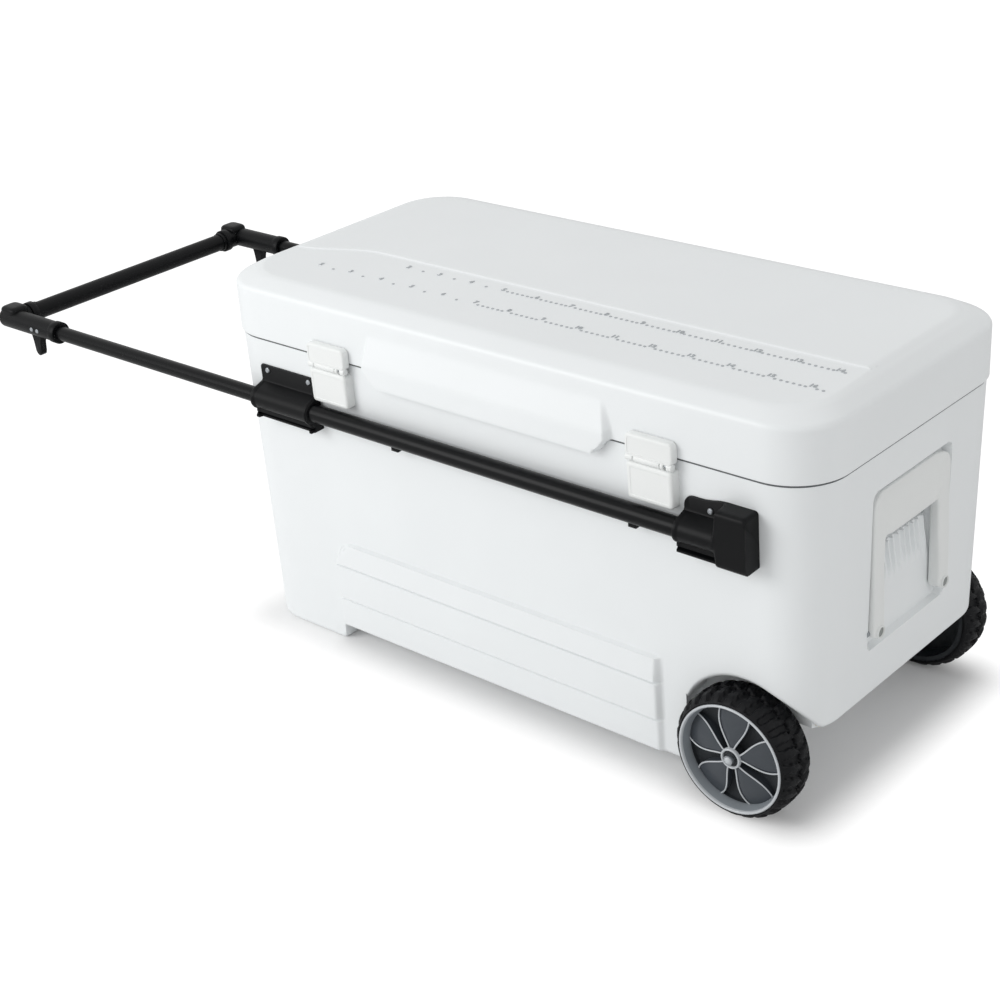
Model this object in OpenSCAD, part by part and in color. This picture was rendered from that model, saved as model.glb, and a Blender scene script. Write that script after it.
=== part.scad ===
// Wheeled ice chest with a pull-out tow handle.
// X runs along the chest towards the wheels, Y from the front side to the back, Z up.
// The origin is the middle of the foot's flat underside, on the ground.

/* [Tub] */
// Length of the tub at its rim
tub_l = 974; // [930:1:1020]
// Width of the tub at its rim
tub_w = 451; // [430:1:480]
// Height of the rim above the ground
rim_z = 460; // [450:1:480]
// How far each end leans in from the rim to the ground
end_lean = 7.5; // [4:0.5:12]
// How far each side leans in from the rim to the ground
side_lean = 15; // [10:0.5:20]
// Radius of the upright corners at the rim
corner_r = 70; // [60:1:80]
// Radius of the upright corners at the ground
base_corner_r = 60; // [50:1:60]
// Wall of the outer shell
shell_t = 3; // [2.5:0.1:4]
// Thickness of the foam
foam_t = 38; // [36:1:42]
// Wall of the inner liner
liner_t = 3; // [2.5:0.1:4]
// Length of the foot along the ground
foot_l = 164; // [130:1:190]
// Ground clearance under the belly
belly_z = 26; // [20:1:32]
// Height of the raised floor over the axle
step_z = 125; // [118:1:135]

/* [Skirt] */
// Length of the ribbed skirt panel on each side
skirt_l = 575; // [500:1:580]
// How far the skirt's top band stands out
skirt_t = 8; // [6:0.5:10]
// How far each lower band of the skirt is set back under the one above
ledge = 2; // [1:0.25:2.5]
// Height of the skirt's top edge, where it fades into the side
skirt_top = 172; // [165:1:180]

/* [Lid] */
// How far the lid overhangs the tub all round
lid_over = 3; // [2:0.5:4]
// Height of the lid's upright edge
lid_edge_h = 71; // [60:1:80]
// Rise of the chamfer above the upright edge
chamfer_h = 14; // [10:1:20]
// Depth of the chamfer, seen from above
chamfer_w = 26; // [20:1:32]
// Rise of the middle of the top over the chamfer
crown_h = 3; // [2:0.5:5]
// Wall of the lid's shell and its liner
lid_t = 3; // [2.5:0.1:4]
// Length of the grip lip on the lid's front
lip_l = 370; // [300:1:380]
// How far the lip hangs below the seam
lip_drop = 21; // [14:1:24]
// How far the lip stands out
lip_out = 11; // [8:1:14]
// How far the lid's ridge reaches down into the tub
ridge_h = 8; // [5:1:12]

/* [Lid hinges] */
// Distance between the outer hinges
hinge_span = 620; // [560:1:700]
// Length of one hinge
hinge_l = 60; // [50:1:70]
// Radius of the hinge knuckles
knuckle_r = 5; // [4.5:0.1:5.5]
// Radius of the hinge pins
hinge_pin_r = 2; // [1.5:0.1:2.5]
// Thickness of the hinge leaves
leaf_t = 2.5; // [2:0.1:3]

/* [Latches] */
// Distance between the two latches
latch_span = 538; // [500:1:560]
// Width of a latch flap
latch_w = 70; // [64:1:76]
// Height of the latch pivot above the ground
latch_z = 450; // [449:0.5:451]
// Height of the flap above its pivot
flap_h = 31; // [26:1:34]
// Radius of the latch pins
latch_pin_r = 2; // [1.5:0.1:2.5]

/* [Tow handle] */
// Height of the rails above the ground
rail_z = 375; // [370:1:380]
// Radius of the fixed outer tubes
outer_r = 12.7; // [12.2:0.1:14]
// Radius of the sliding tubes
slide_r = 11.1; // [10.5:0.1:11.2]
// Wall of every tube
tube_t = 1.2; // [1:0.1:1.4]
// Room between an outer tube and the tub's side
rail_gap = 1.2; // [0.8:0.1:3]
// How far the crossbar stands beyond the tub's middle when pulled out
reach = 980; // [940:1:1000]
// Travel of the tow handle
travel = 420; // [380:1:424]
// Radius of the crossbar's grip sleeve
grip_r = 14; // [13:0.5:16]

/* [End handles] */
// Distance between the outer faces of a handle's arms
bail_w = 180; // [160:1:190]
// Height of the handle's pivot above the ground
bail_pivot_z = 218; // [214:1:224]
// Height of the handle above its pivot
bail_h = 180; // [170:1:184]
// Thickness of a handle
bail_t = 16; // [14:0.5:16]
// Height of the hand grip
grip_h = 58; // [50:1:64]
// Depth of the recess that the handle folds into
seat_depth = 12; // [11:0.5:14]
// Depth of the finger pocket
finger_depth = 30; // [26:1:32]

/* [Wheels] */
// Radius of a wheel over its tread
wheel_r = 86; // [80:1:90]
// Width of a tyre
tyre_w = 62; // [54:1:66]
// Radius of the rim inside the tyre
rim_r = 75; // [70:1:76]
// Distance from the tub's middle to the axle
axle_x = 388; // [380:1:392]
// Distance between the outer faces of the wheels
track_w = 503; // [495:1:515]
// Radius of the axle
axle_r = 6.35; // [5.5:0.05:7]
// Number of petal spokes
spokes = 5; // [4:1:6]
// Number of tread lugs round a wheel
lugs = 22; // [18:1:26]
// Room between a tyre and its wheel arch
arch_gap = 8; // [6:1:10]

/* [Drain] */
// Radius of the drain's tube
drain_r = 11; // [10:0.5:12]
// Radius of the drain cap
cap_r = 19; // [17:0.5:22]

/* [Hidden] */

// Clearances: flat faces that seat, and shafts that turn or slide in a hole
seat = 0.2;
run = 0.06;
side_room = 0.4;
skin = 0.02;
far = 1200;
hull_fn = 48;
round_fn = 64;
white = "#f1f2f2";
black = "#1b1c1e";
silver = "#b9bdc2";
steel = "#9a9ea3";

// The tub's middle, seen from the origin under the foot
tub_mid_x = tub_len(0) / 2 - foot_l / 2;
foot_in_x = foot_l - tub_len(0) / 2;
wall = shell_t + foam_t + liner_t + 2 * seat;
draft = atan(side_lean / rim_z);

// Outline of the tub at a height
function lean(z) = (rim_z - z) / rim_z;
function tub_len(z) = tub_l - 2 * end_lean * lean(z);
function tub_wid(z) = tub_w - 2 * side_lean * lean(z);
function tub_rad(z) = corner_r - (corner_r - base_corner_r) * lean(z);
function face_y(z) = tub_wid(z) / 2;

// Every piece is drawn round the tub's middle and then moved to the origin
module placed() translate([tub_mid_x, 0, 0]) children();
module at_side(side) mirror([0, side < 0 ? 1 : 0, 0]) children();
module at_end(end) mirror([end < 0 ? 1 : 0, 0, 0]) children();
// A flat outline of (outward, up) points carried along X, centred
module along_x(len) translate([-len / 2, 0, 0]) rotate([90, 0, 90]) linear_extrude(len) children();
// A flat outline of (along X, up) points carried along Y, centred
module along_y(len) translate([0, len / 2, 0]) rotate([90, 0, 0]) linear_extrude(len) children();
module rod_x(r, len, fn = round_fn) rotate([0, 90, 0]) cylinder(r = r, h = len, $fn = fn);
module rod_y(r, len, fn = round_fn) rotate([-90, 0, 0]) cylinder(r = r, h = len, $fn = fn);
// Rectangle with round corners, centred
module round_rect(w, h, r) {
    square([w - 2 * r, h], center = true);
    square([w, h - 2 * r], center = true);
    for (sx = [-1, 1], sy = [-1, 1])
        translate([sx * (w / 2 - r), sy * (h / 2 - r)]) circle(r, $fn = 32);
}

// Discs at the corners of [height, length, width, corner radius] levels; their hull is a body
module corner_discs(levels) {
    top = len(levels) - 1;
    for (i = [0 : top], sx = [-1, 1], sy = [-1, 1])
        translate([sx * (levels[i][1] / 2 - levels[i][3]), sy * (levels[i][2] / 2 - levels[i][3]),
            levels[i][0] - (i == top ? skin : 0)])
            cylinder(r = levels[i][3], h = skin, $fn = hull_fn);
}
module corner_loft(levels) hull() corner_discs(levels);

// ---- Tub ----
bottom_chamfer = 8;
axle_z = wheel_r;
arch_r = wheel_r + arch_gap;
arch_x0 = axle_x - arch_r;
step_x = arch_x0 + 6;
skirt_gap = 32;
well_y = track_w / 2 - tyre_w - 6;
pocket_x = tub_len(bail_pivot_z + bail_h / 2) / 2;
pocket_w = bail_w + 2;
pocket_z0 = bail_pivot_z - 24;
pocket_z1 = bail_pivot_z + bail_h + 8;
arm_w = 17;
finger_w = bail_w - 2 * arm_w - 4;
finger_top = bail_pivot_z + bail_h - 24;
nut_r = drain_r + 7;
drain_z = belly_z + wall + bottom_chamfer + nut_r + 1;
screw_r = 2;

function tub_level(z, inset) =
    [z, tub_len(z) - 2 * inset, tub_wid(z) - 2 * inset, max(tub_rad(z) - inset, 2)];

// The tub's outer form, shrunk by inset on every side
module tub_form(inset, bottom, top) {
    difference() {
        corner_loft([tub_level(bottom, inset + bottom_chamfer), tub_level(bottom + bottom_chamfer, inset),
            tub_level(top, inset)]);
        // Belly between the foot and the wheels
        translate([foot_in_x - inset, -far / 2, -1]) cube([2 * far, far, belly_z + inset + 1]);
        // Raised floor over the axle
        translate([step_x - inset, -far / 2, -1]) cube([far, far, step_z + inset + 1]);
        // Wheel arches
        for (side = [-1, 1]) at_side(side)
            translate([axle_x, well_y - inset, axle_z]) rod_y(arch_r + inset, far / 2, 96);
    }
}

// The food space's form, as far inside the tub's as inset: its floor has one step, over the axle and both wheels
module food_form(inset, top) {
    difference() {
        corner_loft([tub_level(belly_z + inset, inset), tub_level(top, inset)]);
        translate([arch_x0 - inset, -far / 2, -1]) cube([far, far, axle_z + arch_r + inset + 1]);
    }
}

// Recess for an end handle with the finger pocket behind its grip, grown by a wall
module end_pocket(grow) {
    translate([pocket_x - seat_depth - grow, 0, (pocket_z0 + pocket_z1) / 2]) rotate([90, 0, 90])
        linear_extrude(far / 8) round_rect(pocket_w + 2 * grow, pocket_z1 - pocket_z0 + 2 * grow, 10 + grow);
    along_y(finger_w + 2 * grow)
        polygon([[pocket_x + far / 8, pocket_z0 - grow], [pocket_x - grow, pocket_z0 - grow],
            [pocket_x - finger_depth - grow, finger_top - 60], [pocket_x - finger_depth - grow, finger_top + grow],
            [pocket_x + far / 8, finger_top + grow]]);
}

// Ribs on the slope of the finger pocket
module pocket_ribs() {
    pitch = finger_w / 8;
    for (i = [-3 : 3])
        translate([0, i * pitch, 0]) along_y(3)
            polygon([[pocket_x - finger_depth - 1, finger_top - 8], [pocket_x - finger_depth + 3, finger_top - 12],
                [pocket_x - finger_depth + 3, finger_top - 60], [pocket_x - finger_depth - 1, finger_top - 75]]);
}

// Stepped skirt panel: three leaning bands, each set back under the one above, and a slope up to the side
module skirt() {
    low = belly_z + 2;
    mid = low + (skirt_top - low) * 0.34;
    high = low + (skirt_top - low) * 0.73;
    skirt_x0 = arch_x0 - skirt_gap - skirt_l;
    intersection() {
        translate([(2 * skirt_x0 + skirt_l) / 2, 0, 0]) along_x(skirt_l)
            polygon([[face_y(low) - 1, low], [face_y(low) + skirt_t - 2 * ledge, low],
                [face_y(mid) + skirt_t - 2 * ledge, mid], [face_y(mid) + skirt_t - ledge, mid],
                [face_y(high) + skirt_t - ledge, high], [face_y(high) + skirt_t, high],
                [face_y(skirt_top) - 1, skirt_top]]);
        // The upper left corner is a quarter round
        along_y(far) {
            round_l = skirt_top - high + 12;
            translate([skirt_x0, low - 1]) square([skirt_l, skirt_top - round_l - low + 1]);
            translate([skirt_x0 + round_l, low]) square([skirt_l - round_l, skirt_top - low + 1]);
            translate([skirt_x0 + round_l, skirt_top - round_l]) circle(round_l, $fn = 48);
        }
    }
}

// Boss that carries the axle under the raised floor
carrier_r = 17;
carrier_t = 30;
module axle_carrier() {
    translate([axle_x, well_y - carrier_t, axle_z]) rod_y(carrier_r, carrier_t);
    translate([axle_x - carrier_r, well_y - carrier_t, axle_z])
        cube([2 * carrier_r, carrier_t, step_z - axle_z + 1]);
}

module tub_shell() placed() color(white)
    difference() {
        union() {
            difference() {
                union() {
                    tub_form(0, 0, rim_z - liner_t - seat);
                    for (side = [-1, 1]) at_side(side) skirt();
                }
                tub_form(shell_t, shell_t, rim_z + 1);
            }
            // Pocket walls, clipped to the tub
            for (end = [-1, 1]) at_end(end) intersection() {
                end_pocket(shell_t);
                translate([0, -far / 2, 0]) cube([tub_len(pocket_z0) / 2 - 1, far, rim_z - 20]);
            }
            for (side = [-1, 1]) at_side(side) axle_carrier();
        }
        for (end = [-1, 1]) at_end(end) difference() {
            end_pocket(0);
            pocket_ribs();
        }
        translate([axle_x, -far / 2, axle_z]) rod_y(axle_r + run, far);
        for (end = [-1, 1]) at_end(end)
            translate([bail_axis_x, -pocket_w / 2 - shell_t - 1, bail_pivot_z])
                rod_y(bail_pin_r + run, pocket_w + 2 * shell_t + 2);
        screw_holes();
        drain_hole(drain_r + run);
    }

module tub_foam() placed() color("#e8dcc0")
    difference() {
        tub_form(shell_t + seat, shell_t + seat, rim_z - liner_t - seat);
        food_form(shell_t + foam_t + seat, rim_z + 1);
        for (end = [-1, 1]) at_end(end) end_pocket(shell_t + seat);
        drain_hole(drain_r + seat);
    }

module tub_liner() placed() color(white)
    difference() {
        union() {
            food_form(shell_t + foam_t + 2 * seat, rim_z);
            intersection() {
                tub_form(0, 0, rim_z);
                translate([-far / 2, -far / 2, rim_z - liner_t]) cube([far, far, liner_t]);
            }
        }
        food_form(wall, rim_z + 1);
        drain_hole(drain_r + run);
    }

// ---- Lid ----
lid_z = rim_z + 0.3;
lid_l = tub_l + 2 * lid_over;
lid_w = tub_w + 2 * lid_over;
lid_r = corner_r + lid_over;
chamfer_z = lid_z + lid_edge_h;
lid_top = chamfer_z + chamfer_h + crown_h;
slope_y = 0.28 * lid_w;
lid_top_r = lid_r - 6;

// Four corner columns of the lid from its bottom to a height
module lid_columns(bottom, top, inset, r)
    for (sx = [-1, 1], sy = [-1, 1])
        translate([sx * (lid_l / 2 - inset - r), sy * (lid_w / 2 - inset - r), bottom])
            cylinder(r = r, h = top - bottom, $fn = hull_fn);

// The lid's solid form under the chamfer's top, shrunk by inset on every side but the bottom
module lid_form(inset, bottom = lid_z) hull() {
    lid_columns(bottom, chamfer_z - inset / 2, inset, lid_r - inset);
    lid_columns(bottom, chamfer_z + chamfer_h - inset, chamfer_w + inset, lid_top_r - inset);
}

// The outer form: its crown is level from the back edge, then falls gently to the front chamfer
module lid_outer() {
    crown_r = lid_top_r - 12;
    hull() {
        lid_columns(lid_z, chamfer_z, 0, lid_r);
        lid_columns(lid_z, chamfer_z + chamfer_h, chamfer_w, lid_top_r);
        for (sx = [-1, 1], y = [lid_w / 2 - chamfer_w - 12 - crown_r, crown_r - slope_y])
            translate([sx * (lid_l / 2 - chamfer_w - 12 - crown_r), y, lid_z])
                cylinder(r = crown_r, h = lid_top - lid_z, $fn = hull_fn);
    }
}

// Grip lip along the middle of the front edge, with slanted ends
module lid_lip() placed() color(white) {
    back = lid_w / 2 + seat;
    intersection() {
        at_side(-1) along_x(lip_l + 2 * lip_drop)
            polygon([[back, chamfer_z - 22], [back + 1, chamfer_z - 22], [back + lip_out, lid_z + 9],
                [back + lip_out, lid_z - lip_drop + 2], [back + lip_out - 2, lid_z - lip_drop],
                [back, lid_z - lip_drop]]);
        along_y(far)
            polygon([[-lip_l / 2, lid_z - lip_drop - 1], [lip_l / 2, lid_z - lip_drop - 1],
                [lip_l / 2 + lip_drop, lid_z], [lip_l / 2 + lip_drop, lid_z + 12], [lip_l / 2, chamfer_z],
                [-lip_l / 2, chamfer_z], [-lip_l / 2 - lip_drop, lid_z + 12], [-lip_l / 2 - lip_drop, lid_z]]);
    }
}

module lid_shell() placed() color(white)
    difference() {
        lid_outer();
        lid_form(lid_t, lid_z - 1);
        for (x = hinge_xs, dx = [-1, 1])
            translate([x + dx * hinge_l / 4, lid_w / 2 - lid_t - 1, lid_screw_z]) rod_y(screw_r + run, lid_t + 2, 24);
    }

module lid_foam() placed() color("#e8dcc0")
    intersection() {
        lid_form(lid_t + seat);
        translate([-far / 2, -far / 2, lid_z + lid_t + seat]) cube([far, far, far]);
    }

// Flat liner that closes the lid, with a ridge round the tub's mouth
ridge_gap = 5;
function ridge_level(rise, inset) = [lid_z + rise, tub_l - 2 * inset, tub_w - 2 * inset, corner_r - inset];
module lid_liner() placed() color(white) {
    inset = wall + ridge_gap;
    intersection() {
        lid_form(lid_t + seat);
        translate([-far / 2, -far / 2, lid_z]) cube([far, far, lid_t]);
    }
    difference() {
        corner_loft([ridge_level(-ridge_h, inset + 3), ridge_level(0.5, inset)]);
        corner_loft([ridge_level(-ridge_h - 1, inset + 8), ridge_level(-skin, inset + 12)]);
    }
}

// ---- Lid hinges ----
hinge_xs = [-hinge_span / 2, 0, hinge_span / 2];
hinge_y = lid_w / 2 + knuckle_r + 0.6;
hinge_z = lid_z + 0.7;
leaf_h = 30;
lid_screw_z = hinge_z + leaf_h - 8;
tub_screw_z = hinge_z - leaf_h + 8;
knuckle_l = hinge_l / 3;

// Leaf plate from its face out to the knuckles; up is +1 on the lid and -1 on the tub
module hinge_leaf(up, face) {
    along_x(hinge_l)
        polygon([[face + seat, hinge_z + up * leaf_h], [face + seat + leaf_t, hinge_z + up * leaf_h],
            [face + seat + leaf_t, hinge_z + up * (knuckle_r + 3)], [face + seat, hinge_z + up * (knuckle_r + 3)]]);
}
module knuckle_web(up, x, len, face) {
    translate([x, 0, 0]) {
        translate([0, hinge_y, hinge_z]) rod_x(knuckle_r, len, 48);
        translate([len / 2, 0, 0]) along_x(len)
            polygon([[face + seat, hinge_z + up * (knuckle_r + 4)],
                [face + seat + leaf_t, hinge_z + up * (knuckle_r + 4)],
                [hinge_y + knuckle_r - 1.5, hinge_z + up * 3], [hinge_y - knuckle_r + 0.5, hinge_z + up * 1]]);
    }
}

module tub_hinge_leaves() placed() color(white)
    for (x = hinge_xs) translate([x, 0, 0]) difference() {
        union() {
            hinge_leaf(-1, face_y(hinge_z - knuckle_r));
            for (s = [-1, 1])
                knuckle_web(-1, s < 0 ? -hinge_l / 2 : hinge_l / 2 - knuckle_l, knuckle_l, face_y(hinge_z - knuckle_r));
        }
        translate([-hinge_l, hinge_y, hinge_z]) rod_x(hinge_pin_r, 2 * hinge_l, 48);
        for (dx = [-1, 1])
            translate([dx * hinge_l / 4, 0, tub_screw_z]) rod_y(screw_r + run, far, 24);
    }

module lid_hinge_leaves() placed() color(white)
    for (x = hinge_xs) translate([x, 0, 0]) difference() {
        union() {
            hinge_leaf(1, lid_w / 2);
            knuckle_web(1, -knuckle_l / 2 + side_room, knuckle_l - 2 * side_room, lid_w / 2);
        }
        translate([-hinge_l, hinge_y, hinge_z]) rod_x(hinge_pin_r + run, 2 * hinge_l, 48);
        for (dx = [-1, 1])
            translate([dx * hinge_l / 4, 0, lid_screw_z]) rod_y(screw_r + run, far, 24);
    }

module hinge_pins() placed() color(steel)
    for (x = hinge_xs)
        translate([x - hinge_l / 2 - 1, hinge_y, hinge_z]) rod_x(hinge_pin_r, hinge_l + 2, 48);

// Pan-head screw pointing inwards along -Y, its head's underside at the origin
module screw(len) {
    translate([0, -len, 0]) rod_y(screw_r, len + 0.5, 24);
    rotate([-90, 0, 0]) rotate_extrude($fn = 32)
        polygon([[0, 0], [4, 0], [4, 1.2], [3, 2.3], [0, 2.5]]);
}

module tub_hinge_screws() placed() color(steel)
    for (x = hinge_xs, dx = [-1, 1])
        translate([x + dx * hinge_l / 4, face_y(hinge_z - knuckle_r) + seat + leaf_t, tub_screw_z])
            screw(leaf_t + shell_t);

module lid_hinge_screws() placed() color(steel)
    for (x = hinge_xs, dx = [-1, 1])
        translate([x + dx * hinge_l / 4, lid_w / 2 + seat + leaf_t, lid_screw_z]) screw(leaf_t + lid_t);

// ---- Latches ----
latch_xs = [-latch_span / 2, latch_span / 2];
latch_pivot_r = 5;
flap_in_y = lid_w / 2 + 0.8;
latch_y = flap_in_y + 6.7;
pad_w = latch_w - 8;
pad_z0 = latch_z - 55;
pad_z1 = latch_z - 7;
pad_out = latch_y - 1.5;
barrel_l = 46;
latch_screw_z = pad_z0 + 14;

// Pad that carries the latch: a convex block on the leaning side with two ears for the pin
module latch_base() {
    back0 = face_y(pad_z0) + seat;
    back1 = face_y(pad_z1) + seat;
    ear_w = (pad_w - barrel_l) / 2 - side_room;
    ear_y = face_y(latch_z) + seat;
    difference() {
        union() {
            intersection() {
                along_x(pad_w)
                    polygon([[back0, pad_z0], [back0 + 3, pad_z0], [pad_out - 1.5, pad_z0 + 7], [pad_out, pad_z0 + 16],
                        [pad_out, pad_z1], [back1, pad_z1]]);
                translate([0, face_y(latch_z) - 30, (pad_z0 + pad_z1) / 2]) rotate([-90, 0, 0])
                    linear_extrude(2 * pad_w) round_rect(pad_w, pad_z1 - pad_z0, 6);
            }
            for (s = [-1, 1]) translate([s * (pad_w / 2 - ear_w / 2) - ear_w / 2, 0, 0]) {
                translate([0, latch_y, latch_z]) rod_x(latch_pivot_r, ear_w, 48);
                translate([0, ear_y, pad_z1 - 8])
                    cube([ear_w, latch_y + latch_pivot_r - 1.5 - ear_y, latch_z - pad_z1 + 8]);
            }
        }
        translate([-latch_w, latch_y, latch_z]) rod_x(latch_pin_r, 2 * latch_w, 48);
        for (dx = [-1, 1]) translate([dx * pad_w / 4, 0, latch_screw_z]) {
            rod_y(screw_r + run, far, 24);
            translate([0, face_y(latch_screw_z) + 4, 0]) rod_y(4.3, far, 32);
        }
    }
}

// Flap: a barrel on the pin, a plate over the seam and a finger edge turned outwards
module latch_flap() {
    top = latch_z + flap_h;
    difference() {
        union() {
            translate([-barrel_l / 2, latch_y, latch_z]) rod_x(latch_pivot_r, barrel_l, 48);
            translate([-barrel_l / 2, flap_in_y, latch_z]) cube([barrel_l, 8.5, latch_pivot_r + 2]);
            intersection() {
                along_x(latch_w)
                    polygon([[flap_in_y, latch_z + latch_pivot_r + side_room],
                        [flap_in_y + 8.5, latch_z + latch_pivot_r + side_room], [flap_in_y + 7.5, top - 9],
                        [flap_in_y + 10, top - 1], [flap_in_y + 8, top], [flap_in_y, top]]);
                translate([0, flap_in_y - 10, latch_z + flap_h / 2 + 2]) rotate([-90, 0, 0])
                    linear_extrude(60) round_rect(latch_w, flap_h - 4, 4);
            }
        }
        translate([-latch_w, latch_y, latch_z]) rod_x(latch_pin_r + run, 2 * latch_w, 48);
    }
}

module latch_base_left() placed() color(white) translate([latch_xs[0], 0, 0]) at_side(-1) latch_base();
module latch_base_right() placed() color(white) translate([latch_xs[1], 0, 0]) at_side(-1) latch_base();
module latch_left() placed() color(white) translate([latch_xs[0], 0, 0]) at_side(-1) latch_flap();
module latch_right() placed() color(white) translate([latch_xs[1], 0, 0]) at_side(-1) latch_flap();
module latch_pins() placed() color(steel)
    for (x = latch_xs) translate([x, 0, 0]) at_side(-1)
        translate([-pad_w / 2 - 0.5, latch_y, latch_z]) rod_x(latch_pin_r, pad_w + 1, 48);
module latch_screws() placed() color(steel)
    for (x = latch_xs, dx = [-1, 1]) translate([x, 0, 0]) at_side(-1)
        translate([dx * pad_w / 4, face_y(latch_screw_z) + 4, latch_screw_z]) screw(4 + shell_t);

// ---- Tow handle ----
rail_off = outer_r + rail_gap;
rail_y = face_y(rail_z) + rail_off / cos(draft);
bracket_t = 3;
sleeve_r = outer_r + 4;
guide_l = 111;
guide_lip = 18;
guide_room = 4;
guide_x0 = latch_xs[0] - pad_w / 2 - guide_room - guide_l;
socket_l = 103;
socket_room = 11;
socket_x0 = latch_xs[1] + pad_w / 2 + socket_room;
block_l = 45;
window = [22, 12, 8];
flange_z0 = -29;
flange_z1 = 45;
outer_x0 = guide_x0 + guide_lip;
outer_x1 = socket_x0 + socket_l - 8;
bracket_screws_at = [[guide_x0 + 14, 38], [guide_x0 + guide_l - 16, 38], [guide_x0 + guide_l / 2, -23],
    [socket_x0 + 38, 28], [socket_x0 + 20, -23]];

// Frame of a rail: origin on the tube's axis, turned so that the tub's side is upright in it
module rail_frame(side) at_side(side) translate([0, rail_y, rail_z]) rotate([-draft, 0, 0]) children();

module sleeve_body(x0, len, r) {
    intersection() {
        translate([x0, 0, 0]) rod_x(r, len);
        translate([x0, -rail_off + seat, -r]) cube([len, 2 * r, 2 * r]);
    }
    translate([x0, -rail_off + seat, -r]) cube([len, rail_off - seat, 2 * r]);
}
module bracket_plate() translate([0, -rail_off + seat, 0]) rotate([-90, 0, 0]) linear_extrude(bracket_t) mirror([0, 1])
    children();
module bracket_holes(from, to)
    for (i = [from : to]) translate([bracket_screws_at[i][0], -rail_off, bracket_screws_at[i][1]])
        rod_y(screw_r + run, 2 * rail_off, 24);

module guide_bracket(side) rail_frame(side)
    difference() {
        union() {
            bracket_plate() translate([guide_x0 + guide_l / 2, (flange_z0 + flange_z1) / 2])
                round_rect(guide_l, flange_z1 - flange_z0, 5);
            sleeve_body(guide_x0, guide_l, sleeve_r);
            // Two stiffening ribs at the mouth and one at the middle
            for (x = [guide_x0, guide_x0 + guide_l * 0.36, guide_x0 + guide_l - 6])
                translate([x, -rail_off + seat, flange_z0 + 3])
                    cube([6, rail_off + 4, flange_z1 - flange_z0 - 22]);
            sleeve_body(guide_x0, 8, sleeve_r + 2);
        }
        translate([guide_x0 - 1, 0, 0]) rod_x(slide_r + run, guide_l + 2);
        translate([outer_x0, 0, 0]) rod_x(outer_r + run, guide_l + 2);
        bracket_holes(0, 2);
    }

module socket_bracket(side) rail_frame(side)
    difference() {
        union() {
            bracket_plate()
                polygon([[socket_x0, flange_z0], [socket_x0 + socket_l, flange_z0], [socket_x0 + socket_l, flange_z1],
                    [socket_x0 + 56, flange_z1], [socket_x0 + 30, 37], [socket_x0, 37]]);
            sleeve_body(socket_x0, socket_l - 10, sleeve_r);
            translate([socket_x0 + socket_l - block_l, -rail_off + seat, 0]) rotate([-90, 0, 0]) mirror([0, 1])
                linear_extrude(rail_off + sleeve_r - 1) translate([block_l / 2, (flange_z0 + flange_z1) / 2])
                    round_rect(block_l, flange_z1 - flange_z0, 5);
        }
        translate([socket_x0 - 1, 0, 0]) rod_x(outer_r + run, outer_x1 - socket_x0 + 1 + run);
        bracket_holes(3, 4);
        // Two moulding windows in the block's outer face
        for (z = [flange_z0 + window[2] + 1, flange_z1 - 2 * window[2] - 3])
            translate([socket_x0 + socket_l - (block_l + window[0]) / 2, sleeve_r - window[1] / 2, z]) cube(window);
    }

module outer_tube(side) rail_frame(side) difference() {
    translate([outer_x0, 0, 0]) rod_x(outer_r, outer_x1 - outer_x0);
    translate([outer_x0 - 1, 0, 0]) rod_x(outer_r - tube_t, outer_x1 - outer_x0 + 2);
}

// Saddle under an outer tube, between it and the tub's side
clip_l = 12;
clip_from_guide = 153;
clip_from_socket = 68;
clip_xs = [guide_x0 + guide_l + clip_from_guide, socket_x0 - clip_from_socket];
module rail_clips() placed() color(black)
    for (side = [-1, 1], x = clip_xs) rail_frame(side) difference() {
        translate([x - clip_l / 2, -rail_off + seat, -outer_r - 5]) cube([clip_l, rail_off + 4, outer_r + 2]);
        translate([x - clip_l, 0, 0]) rod_x(outer_r + run, 2 * clip_l);
    }

fitting_l = 116;
fitting_r = slide_r + 4.5;
collar_l = 12;
nose_l = 28;
leg_y = 36;
tab_x = 42;
tab_r = 9;
tab_drop = 24;
top_block = [30, 34, 14];
slide_x0 = -reach + 12;
slide_x1 = guide_x0 + guide_l;
bush_l = 14;
rivet_r = 1.5;
rivet_gap = 14;
rivet_xs = [for (i = [0, 1]) -reach + tab_x + 2 * tab_r + 2 + i * rivet_gap];

module slide_tube(side) rail_frame(side) difference() {
    translate([slide_x0, 0, 0]) rod_x(slide_r, slide_x1 - slide_x0);
    translate([slide_x0 - 1, 0, 0]) rod_x(slide_r - tube_t, slide_x1 - slide_x0 + 2);
}
// Plug in the tube's inner end whose head runs in the outer tube
module slide_bush(side) rail_frame(side) {
    translate([slide_x1, 0, 0]) rod_x(outer_r - tube_t - run, bush_l);
    translate([slide_x1 - 20, 0, 0]) rod_x(slide_r - tube_t - run, 21);
}

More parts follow.
